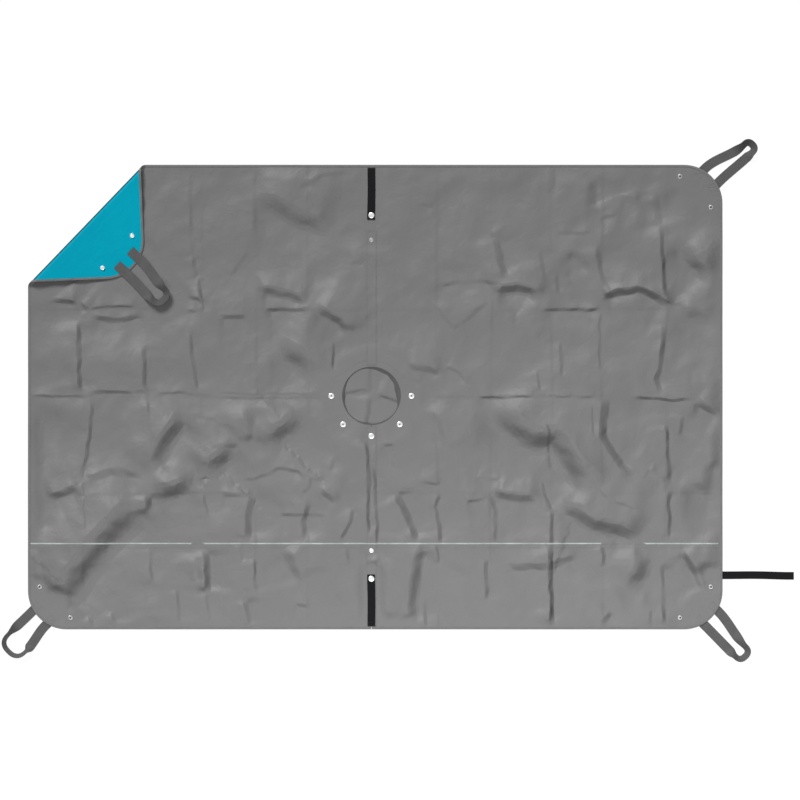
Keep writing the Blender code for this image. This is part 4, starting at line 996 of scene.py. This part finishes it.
RING = [(LINE_X + RING_RADIUS * math.cos(a), HOLE_Y + RING_RADIUS * math.sin(a))
        for a in np.radians((180, 225, 315, 360, 270))]
under, socket = -TOP - LAYER_GAP, SOCKET_FACE - PANEL_LEVEL
sockets = [f"ring_socket_{i}" for i in (1, 2, 4, 5)]
cap = cap_up(TOP, CAP_RADIUS, RING_EYELET)
studs("ring_caps", "mat", RING[:4], 0, cap, socket_down(under, socket), sockets, 3)
low = socket_down(under, socket - LAYER_STEP)
studs("band_cap", "mat", RING[4:], LAYER_STEP, plain_cap_up(TOP), low, ["ring_socket_3"])
low = plain_down(under, 0.0012, CAP_RADIUS)
knobs = [f"ring_knob_{i}" for i in (1, 2, 4, 5, 3)]
studs("patch_knobs", "patch", RING, -PATCH_RIM, knob_up(TOP), low, knobs)
for name, y, layers, height, plating in (
    ("back", LINE_KNOBS[0], 1, 0.0007, WORN_NICKEL),
    ("front", LINE_KNOBS[1], 2, 0.0006, NICKEL),
):
    low = plain_down(under - (LAYER_STEP if name == "back" else 0), height, FLANGE_RADIUS)
    studs(f"{name}_line_knob", "mat", [(LINE_X, y)], layers * LAYER_STEP, knob_up(TOP), low,
          [f"line_knob_{name}"], 0, plating)
for corner, body, sign_x, sign_y, lift, plating in (
    ("back_right", "mat", 1, 1, 0, WORN_NICKEL),
    ("front_right", "front_wall", 1, -1, LAYER_STEP, WORN_NICKEL),
    ("front_left", "front_wall", -1, -1, LAYER_STEP, WORN_NICKEL),
    ("back_left", "corner", -1, 1, 0, NICKEL),
):
    floor, cap = -PANEL_LEVEL - lift, cap_up(TOP, 0.85 * CAP_RADIUS, CORNER_EYELET)
    for edge, in_x, in_y, lower in (
        ("end", SNAP_NEAR, SNAP_FAR, socket_down(under, floor)),
        ("side", SNAP_FAR, SNAP_NEAR, knob_down(under, floor)),
    ):
        place = [(sign_x * (HALF_LENGTH - in_x), sign_y * (HALF_DEPTH - in_y))]
        node = f"corner_snap_{corner}_{edge}"
        studs(f"{corner}_{edge}_stud", body, place, lift, cap, lower, [node], 3, plating)

# The four handles are loops of ribbed webbing. Both ends are sewn flat under a corner, and
# the loop leaves the mat flat and turns up on its edge towards its tip.
WEB_WIDTH, WEB_THICKNESS, WEB_DROP = 0.025, 0.0015, 0.00215
LEG_HALF, SEWN_LENGTH, HANDLE_REACH, HANDLE_STANDOFF = 0.025, 0.038, 0.134, 0.003
HANDLES = {
    "back_right": ("mat", 1, 1, 0.965, 0.58, -0.68, 50, (0.80, 0.66)),
    "front_right": ("front_wall", 1, -1, 0.962, 0.72, -0.32, 56, (0.78, 0.56)),
    "front_left": ("front_wall", -1, -1, 0.850, 1.26, 0.20, 68, (0.46, 0.78)),
    "back_left": ("corner", -1, 1, 0.840, 0.84, -0.36, 50, (0.74, 0.66)),
}
TIP_ROUNDNESS = 0.78
# Ribs 2.4 mm apart along the webbing and picks 2.0 mm apart across it, as in 25 mm webbing
WEBBING = woven_tape("polypropylene_webbing_grey", "#404040", "#575757", 0.72, 0.0024, 0.0020)


def loop_line(reach, radius, lean, twists):
    """The loop's line from one root round the tip to the other, with its twist."""
    legs, line = [], []
    for sign, start in zip((-1, 1), twists):
        leg = []
        for share in np.linspace(0, 1, 37):
            x = (reach - radius) * share
            y = sign * LEG_HALF + (lean + sign * radius - sign * LEG_HALF) * float(smooth(share))
            leg.append((x, y, float(smooth((share - start) / (1 - start)))))
        legs.append(leg)
    for angle in np.linspace(-90, 90, 25)[1:-1]:
        a = math.radians(angle)
        ahead, aside = math.cos(a) ** TIP_ROUNDNESS, abs(math.sin(a)) ** TIP_ROUNDNESS
        line.append((reach - radius + radius * ahead, lean + radius * math.copysign(aside, a), 1.0))
    return legs[0] + line + legs[1][::-1]


def handle_seat(sign_x, sign_y):
    """Where a handle leaves the mat, on its corner's diagonal, and the way outwards."""
    out = Vector((sign_x, sign_y)) / math.sqrt(2)
    seat = Vector((sign_x * HALF_LENGTH, sign_y * HALF_DEPTH))
    seat += out * (HANDLE_STANDOFF - CORNER_RADIUS * (math.sqrt(2) - 1))
    return seat, out


def handle(corner):
    """A handle's webbing as one piece, from one sewn end round the loop to the other."""
    body, sign_x, sign_y, reach, radius, lean, bank, twists = HANDLES[corner]
    seat, out = handle_seat(sign_x, sign_y)
    level = LAYER_STEP if sign_y < 0 else 0
    turned = corner == "back_left"
    x, y = np.array([seat.x, seat.x + out.x]), np.array([seat.y, seat.y + out.y])
    root = folded(x, y, np.array([level - WEB_DROP, level - WEB_DROP]))
    heading = Vector((root[1] - root[0])[:2]).normalized()
    side = Vector((-heading.y, heading.x))
    flat_side = Vector((-out.y, out.x)) * (-1 if turned else 1)
    resting = PANEL_LEVEL + SHEET_THICKNESS / 2 + LAYER_GAP if turned else LAYER_GAP
    line = loop_line(reach * HANDLE_REACH, radius * LEG_HALF, lean * LEG_HALF, twists)
    across = np.linspace(-WEB_WIDTH / 2, WEB_WIDTH / 2, 7)
    rows, flat_rows = [], []

    def sewn(sign, turn, inwards):
        for back in inwards:
            off = sign * LEG_HALF + turn * across
            place_x = seat.x + flat_side.x * off - out.x * back
            place_y = seat.y + flat_side.y * off - out.y * back
            rows.append(folded(place_x, place_y, np.full(7, level - WEB_DROP)))

    sewn(-1, -1, np.linspace(SEWN_LENGTH, 0.004, 7))
    for i, (x, y, twist) in enumerate(line):
        before, after = line[max(i - 1, 0)], line[min(i + 1, len(line) - 1)]
        ahead = Vector((after[0] - before[0], after[1] - before[1])).normalized()
        if i in (0, len(line) - 1):
            ahead = Vector((-1 if i else 1, 0))
        angle = math.radians(bank) * twist
        way = Vector((ahead.y, -ahead.x)) * math.cos(angle)
        low = root[0][2] + (resting + WEB_THICKNESS / 2 * math.cos(angle) - root[0][2]) * twist
        height = low + WEB_WIDTH / 2 * math.sin(angle)
        middle = Vector(root[0][:2]) + heading * x + side * y
        way = heading * way.x + side * way.y
        row = [(middle.x + way.x * a, middle.y + way.y * a, height + math.sin(angle) * a)
               for a in across]
        rows.append(row)
    sewn(1, 1, np.linspace(0.004, SEWN_LENGTH, 7))
    middles, run = [row[3] for row in rows], 0.0
    for i, middle in enumerate(middles):
        run += math.dist(middle, middles[i - 1]) if i else 0.0
        flat_rows.append([(run, a) for a in across])
    item = strip(f"{corner}_webbing", rows, flat_rows, [WEBBING], WEB_THICKNESS)
    height = float(root[0][2])
    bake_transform(item)
    ends = [f"handle_end_{corner}_{name}" for name in ("left", "right")]
    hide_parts(f"handle_{corner}", *ends)


for corner in HANDLES:
    handle(corner)

# Two short black straps brace the walls when the mat is a tray. Each is sewn at the middle
# of a long edge, over the hem, lies inwards, and has a capped socket at its free end.
STRAP_WIDTH, STRAP_THICKNESS, BRACE_LENGTH = 0.020, 0.0012, 0.134
BRACE_END_Y, BRACE_SNAP_RUN = 0.594, 0.123
# Ribs 1.8 mm apart and picks 1.6 mm apart, as in a 20 mm woven strap
BLACK_STRAP = woven_tape("woven_polyester_strap_black", "#0a0a0b", "#1a1a1c", 0.85, 0.0018, 0.0016,
                         0.12)
# The edge that each is sewn to, the side where that edge lies, and the strap's level
BRACES = (("back", "mat", 1, 0.0053), ("front", "front_wall", -1, 0.0071))


def brace(name, parent, sign, low):
    """A brace strap from its sewn end at the edge to its stud."""
    rows, flat_rows = [], []
    for run in np.linspace(0, BRACE_LENGTH, 46):
        rise = float(smooth((run - 0.088) / 0.015))
        height = low + STRAP_THICKNESS / 2 + 0.0010 * rise
        across = np.linspace(-STRAP_WIDTH / 2, STRAP_WIDTH / 2, 7)
        skew = 0.0010 * math.sin(run / 0.028) * run / BRACE_LENGTH
        x = LINE_X + across * -sign + skew
        rows.append([(value, sign * (BRACE_END_Y - run), height) for value in x])
        flat_rows.append([(run, a) for a in across])
    item = strip(f"{name}_strap", rows[::-1], flat_rows[::-1], [BLACK_STRAP], STRAP_THICKNESS)
    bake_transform(item)
    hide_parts(f"brace_strap_{name}")
    top = STRAP_THICKNESS / 2
    cap, lower = plain_cap_up(top - 0.0002), socket_down(-top - 0.00005, -top - FLANGE_HEIGHT)
    raised = low + FLANGE_HEIGHT + LAYER_GAP + top - PANEL_LEVEL
    place = [(LINE_X, sign * (BRACE_END_Y - BRACE_SNAP_RUN))]
    studs(f"{name}_strap_stud", f"{name}_brace", place, raised, cap, lower, [f"brace_snap_{name}"])


for strap in BRACES:
    brace(*strap)

# A longer black strap, sewn under the right edge near the front, ties the rolled mat. Its
# free end lies out on the floor in a shallow wave.
CLOSING_Y, CLOSING_LEVEL, CLOSING_LENGTH = -0.462, 0.0036, 0.185
rows, flat_rows = [], []
for run in np.linspace(-0.0297, CLOSING_LENGTH, 70):
    share = max(0.0, run) / CLOSING_LENGTH
    height = CLOSING_LEVEL + 0.0012 * math.sin(2 * math.pi * share)
    sway = 0.0016 * math.sin(5.2 * share) * share
    across = np.linspace(-STRAP_WIDTH / 2, STRAP_WIDTH / 2, 7)
    rows.append([(HALF_LENGTH + run, CLOSING_Y + sway + a, height) for a in across])
    flat_rows.append([(run, a) for a in across])
closing = strip("tie_strap", rows[::-1], flat_rows[::-1], [BLACK_STRAP], STRAP_THICKNESS)
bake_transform(closing)
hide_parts("closing_strap", "closing_strap_end")

# Every seam is a lockstitch in spun polyester thread, about 4 mm a stitch: two rows along
# the lap, one along each hem and each edge of the centre strips, and a box on each strap.
STITCH_PITCH, STITCH_LENGTH, THREAD_RADIUS = 0.0042, 0.0034, 0.00042


def spun_thread(name, deep, pale):
    """Spun polyester thread: matt, with a twist that breaks up its colour."""
    material, tree, shader = new_material(name, 0.8)
    place = add_node(tree, "ShaderNodeTexCoord", out="Object")
    plug(shader, {"Base Color": mottled(tree, place, deep, pale, Scale=900.0, Detail=2.0)[1]})
    return material


GREY_THREAD = spun_thread("spun_polyester_thread_grey", "#5f5f5f", "#787878")
BLACK_THREAD = spun_thread("spun_polyester_thread_black", "#232324", "#3a3a3c")
stitch_inputs = [("Pitch", "NodeSocketFloat"), ("Length", "NodeSocketFloat"),
                 ("Thread Radius", "NodeSocketFloat"), ("Thread", "NodeSocketMaterial")]
stitch_tree, given = new_tree("stitches_along_lines", stitch_inputs)
line = add_node(stitch_tree, "GeometryNodeMeshToCurve", {"Mesh": given["Geometry"]})
points = {"Curve": line, "Length": given["Pitch"]}
points = add_node(stitch_tree, "GeometryNodeCurveToPoints", points, None, mode="LENGTH").outputs
turn = {"Vector": points["Tangent"]}
turn = add_node(stitch_tree, "FunctionNodeAlignRotationToVector", turn, axis="X")
ball = add_node(stitch_tree, "GeometryNodeMeshIcoSphere", {"Radius": 0.5, "Subdivisions": 1})
width = {0: given["Thread Radius"], 1: 2.0}
width = add_node(stitch_tree, "ShaderNodeMath", width, operation="MULTIPLY")
size = {"X": given["Length"], "Y": width, "Z": width}
size = add_node(stitch_tree, "ShaderNodeCombineXYZ", size)
put = {"Points": points["Points"], "Instance": ball, "Rotation": turn, "Scale": size}
put = add_node(stitch_tree, "GeometryNodeInstanceOnPoints", put)
put = add_node(stitch_tree, "GeometryNodeRealizeInstances", {0: put})
put = {"Geometry": put, "Material": given["Thread"]}
put = add_node(stitch_tree, "GeometryNodeSetMaterial", put)
add_node(stitch_tree, "NodeGroupOutput", {0: put}, None)


def stitches(name, lines, thread):
    """Rows of stitches along lines of places, as one piece."""
    spots, edges = [], []
    for line in lines:
        edges += [(len(spots) + i, len(spots) + i + 1) for i in range(len(line) - 1)]
        spots += [tuple(map(float, spot)) for spot in line]
    values = {"Pitch": STITCH_PITCH, "Length": STITCH_LENGTH, "Thread Radius": THREAD_RADIUS,
              "Thread": thread}
    item = run_tree(name, spots, edges, stitch_tree, values)
    item.data.set_sharp_from_angle(angle=math.pi)
    return item


def seam(line, lift, over=relief):
    """A seam's line on the cloth, from corners on the flat mat."""
    x, y = np.array(stepped(line, 0.006)).T
    above = lift(y) if callable(lift) else lift
    return folded(x, y, above + SHEET_THICKNESS / 2 + 0.0001 + over(x, y))


def hem_seam(path, back=0.0048, shape=relief):
    """The stitching along a hem, on its upper face."""
    x, y, out_x, out_y = np.array(path).T
    level = LAYER_STEP * smooth((lap_y - y) / 0.006)
    rise = HEM_RISE + HEM_THICKNESS / 2 + 0.0001
    near = shape(x - 0.001 * out_x, y - 0.001 * out_y)
    return folded(x - back * out_x, y - back * out_y, level + rise + near)


def strap_box(seat, out, sign, length=0.024, half=0.009):
    """The box of stitching that holds one end of a handle, on the cloth above it."""
    side = Vector((-out.y, out.x))
    middle = seat + side * sign * LEG_HALF
    corners = [(0.006, -half), (0.006 + length, -half), (0.006 + length, half), (0.006, half),
               (0.006, -half), (0.006 + length, half)]
    return [tuple(middle - out * a + side * b) for a, b in corners]


reach_left, reach_right = LINE_X - BAND_WIDTH / 2 - 0.002, LINE_X + BAND_WIDTH / 2 + 0.002
inset = BAND_WIDTH / 2 - 0.0025
mat_seams = []
for off in (-0.0035, -0.0115):
    for ends in ((-half_x + 0.007, reach_left), (reach_right, half_x - 0.007)):
        mat_seams.append(seam([(ends[0], SEAM_Y + off), (ends[1], SEAM_Y + off)], LAYER_STEP))
tape = [(LINE_X - inset, 0.0855), (LINE_X - inset, 0.4285), (LINE_X + inset, 0.4285),
        (LINE_X + inset, 0.0855), (LINE_X - inset, 0.0855)]
mat_seams.append(seam(tape, band_lift))
for name in ("hem_right", "hem_back_left"):
    mat_seams.append(hem_seam(edge_path(*hem_paths[name])))
sewn_hole = arc((LINE_X, HOLE_Y), PATCH_SEAM, seam_start - 8, 180 - seam_start + 8, 40)
mat_seams.append(seam(sewn_hole, 0))
boxes = {corner: [] for corner in HANDLES}
for corner, (body, sign_x, sign_y, *_) in HANDLES.items():
    seat, out = handle_seat(sign_x, sign_y)
    for sign in (-1, 1):
        lift = LAYER_STEP if sign_y < 0 else 0.0
        if corner == "back_left":
            lift = -SHEET_THICKNESS - WEB_DROP - WEB_THICKNESS / 2 + 0.0004
        boxes[corner].append(seam(strap_box(seat, out, sign), lift, over=lambda x, y: 0 * x))
mat_thread = stitches("mat_stitching", mat_seams + boxes["back_right"], GREY_THREAD)
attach(mat_thread, "mat")

front_seams = [hem_seam(edge_path(*hem_paths[f"hem_front_{side}"])) for side in ("left", "right")]
for side in (-inset, inset):
    line = [(LINE_X + side, -0.079), (LINE_X + side, -0.5935)]
    front_seams.append(seam(line, band_lift))
front_seams += boxes["front_left"] + boxes["front_right"]
front_thread = stitches("front_stitching", front_seams, GREY_THREAD)
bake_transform(front_thread)

turned_seams = [hem_seam(edge_path(*hem_paths["hem_turned"]), shape=streaks)] + boxes["back_left"]
path = np.array(edge_path(*hem_paths["hem_turned"]))
x, y = path[:, 0] - 0.0048 * path[:, 2], path[:, 1] - 0.0048 * path[:, 3]
turned_seams.append(folded(x, y, np.full(len(x), -HEM_RISE - HEM_THICKNESS / 2 - 0.0001)))
turned_thread = stitches("turned_corner_stitching", turned_seams, GREY_THREAD)
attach(turned_thread, "corner")

for name, body, sign, low in BRACES:
    top = low + STRAP_THICKNESS + 0.0001
    box = [(-0.0085, 0.002), (-0.0085, 0.0105), (0.0085, 0.0105), (0.0085, 0.002), (-0.0085, 0.002)]
    line = [(LINE_X + a, sign * (BRACE_END_Y - b), top) for a, b in box]
    item = stitches(f"{name}_strap_stitching", [line], BLACK_THREAD)
    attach(item, body)

# A white table under a soft lamp from the back left and a wide one above the front.
PIXEL = 0.0025918


def seen_plainly(tree):
    """One for a ray from the camera, or one that is mirrored or passed on, and otherwise nought."""
    kinds = add_node(tree, "ShaderNodeLightPath", out=None).outputs
    known = kinds["Is Camera Ray"]
    for other in ("Is Glossy Ray", "Is Transmission Ray"):
        both = {0: known, 1: kinds[other]}
        known = add_node(tree, "ShaderNodeMath", both, operation="MAXIMUM")
    return known


material, tree, shader = new_material("white_floor", 0.9)
plug(shader, {"Base Color": linear("#f2f2f2")})
share = {0: seen_plainly(tree), 1: 0.88}
share = add_node(tree, "ShaderNodeMath", share, operation="MULTIPLY")
white = add_node(tree, "ShaderNodeEmission", {"Color": (1, 1, 1, 1), "Strength": 1.06})
mixed = add_node(tree, "ShaderNodeMixShader", {0: share, 1: shader.outputs[0], 2: white})
plug(tree.nodes["Material Output"], {"Surface": mixed})
mesh = bpy.data.meshes.new("floor")
mesh.from_pydata([(-9, -9, 0), (9, -9, 0), (9, 9, 0), (-9, 9, 0)], [], [(0, 1, 2, 3)])
mesh.materials.append(material)
floor = bpy.data.objects.new("floor", mesh)
bpy.context.scene.collection.objects.link(floor)

world = bpy.data.worlds.new("studio")
bpy.context.scene.world = world
world.use_nodes = True
tree = world.node_tree
level = add_node(tree, "ShaderNodeMapRange", {0: seen_plainly(tree), 3: 0.10, 4: 1.0})
plug(tree.nodes["Background"], {"Strength": level, "Color": (1, 1, 1, 1)})


def lamp(name, kind, place, aim, energy, **settings):
    """A lamp at a place, turned to what it lights."""
    light = bpy.data.lights.new(name, kind)
    light.energy = energy
    for setting, value in settings.items():
        setattr(light, setting, value)
    item = bpy.data.objects.new(name, light)
    item.location = place
    item.rotation_euler = (Vector(aim) - Vector(place)).to_track_quat("-Z", "Y").to_euler()
    bpy.context.scene.collection.objects.link(item)


lamp("window", "SUN", (-0.45, 0.95, 0.98), (0, 0, 0), 2.92, angle=math.radians(20))
lamp("softbox", "AREA", (0.25, -1.25, 1.9), (0.2, -0.95, 0), 28, shape="RECTANGLE", size=2.4,
     size_y=0.8)

camera = bpy.data.cameras.new("camera")
camera.lens, camera.sensor_width = 200, 36
camera.clip_end = 100
viewer = bpy.data.objects.new("camera", camera)
distance = 800 * PIXEL * camera.lens / camera.sensor_width
viewer.location = (24.75 * PIXEL, -2.95 * PIXEL, distance + PANEL_LEVEL)
bpy.context.scene.collection.objects.link(viewer)
bpy.context.scene.camera = viewer
bpy.context.scene.view_settings.view_transform = "Standard"
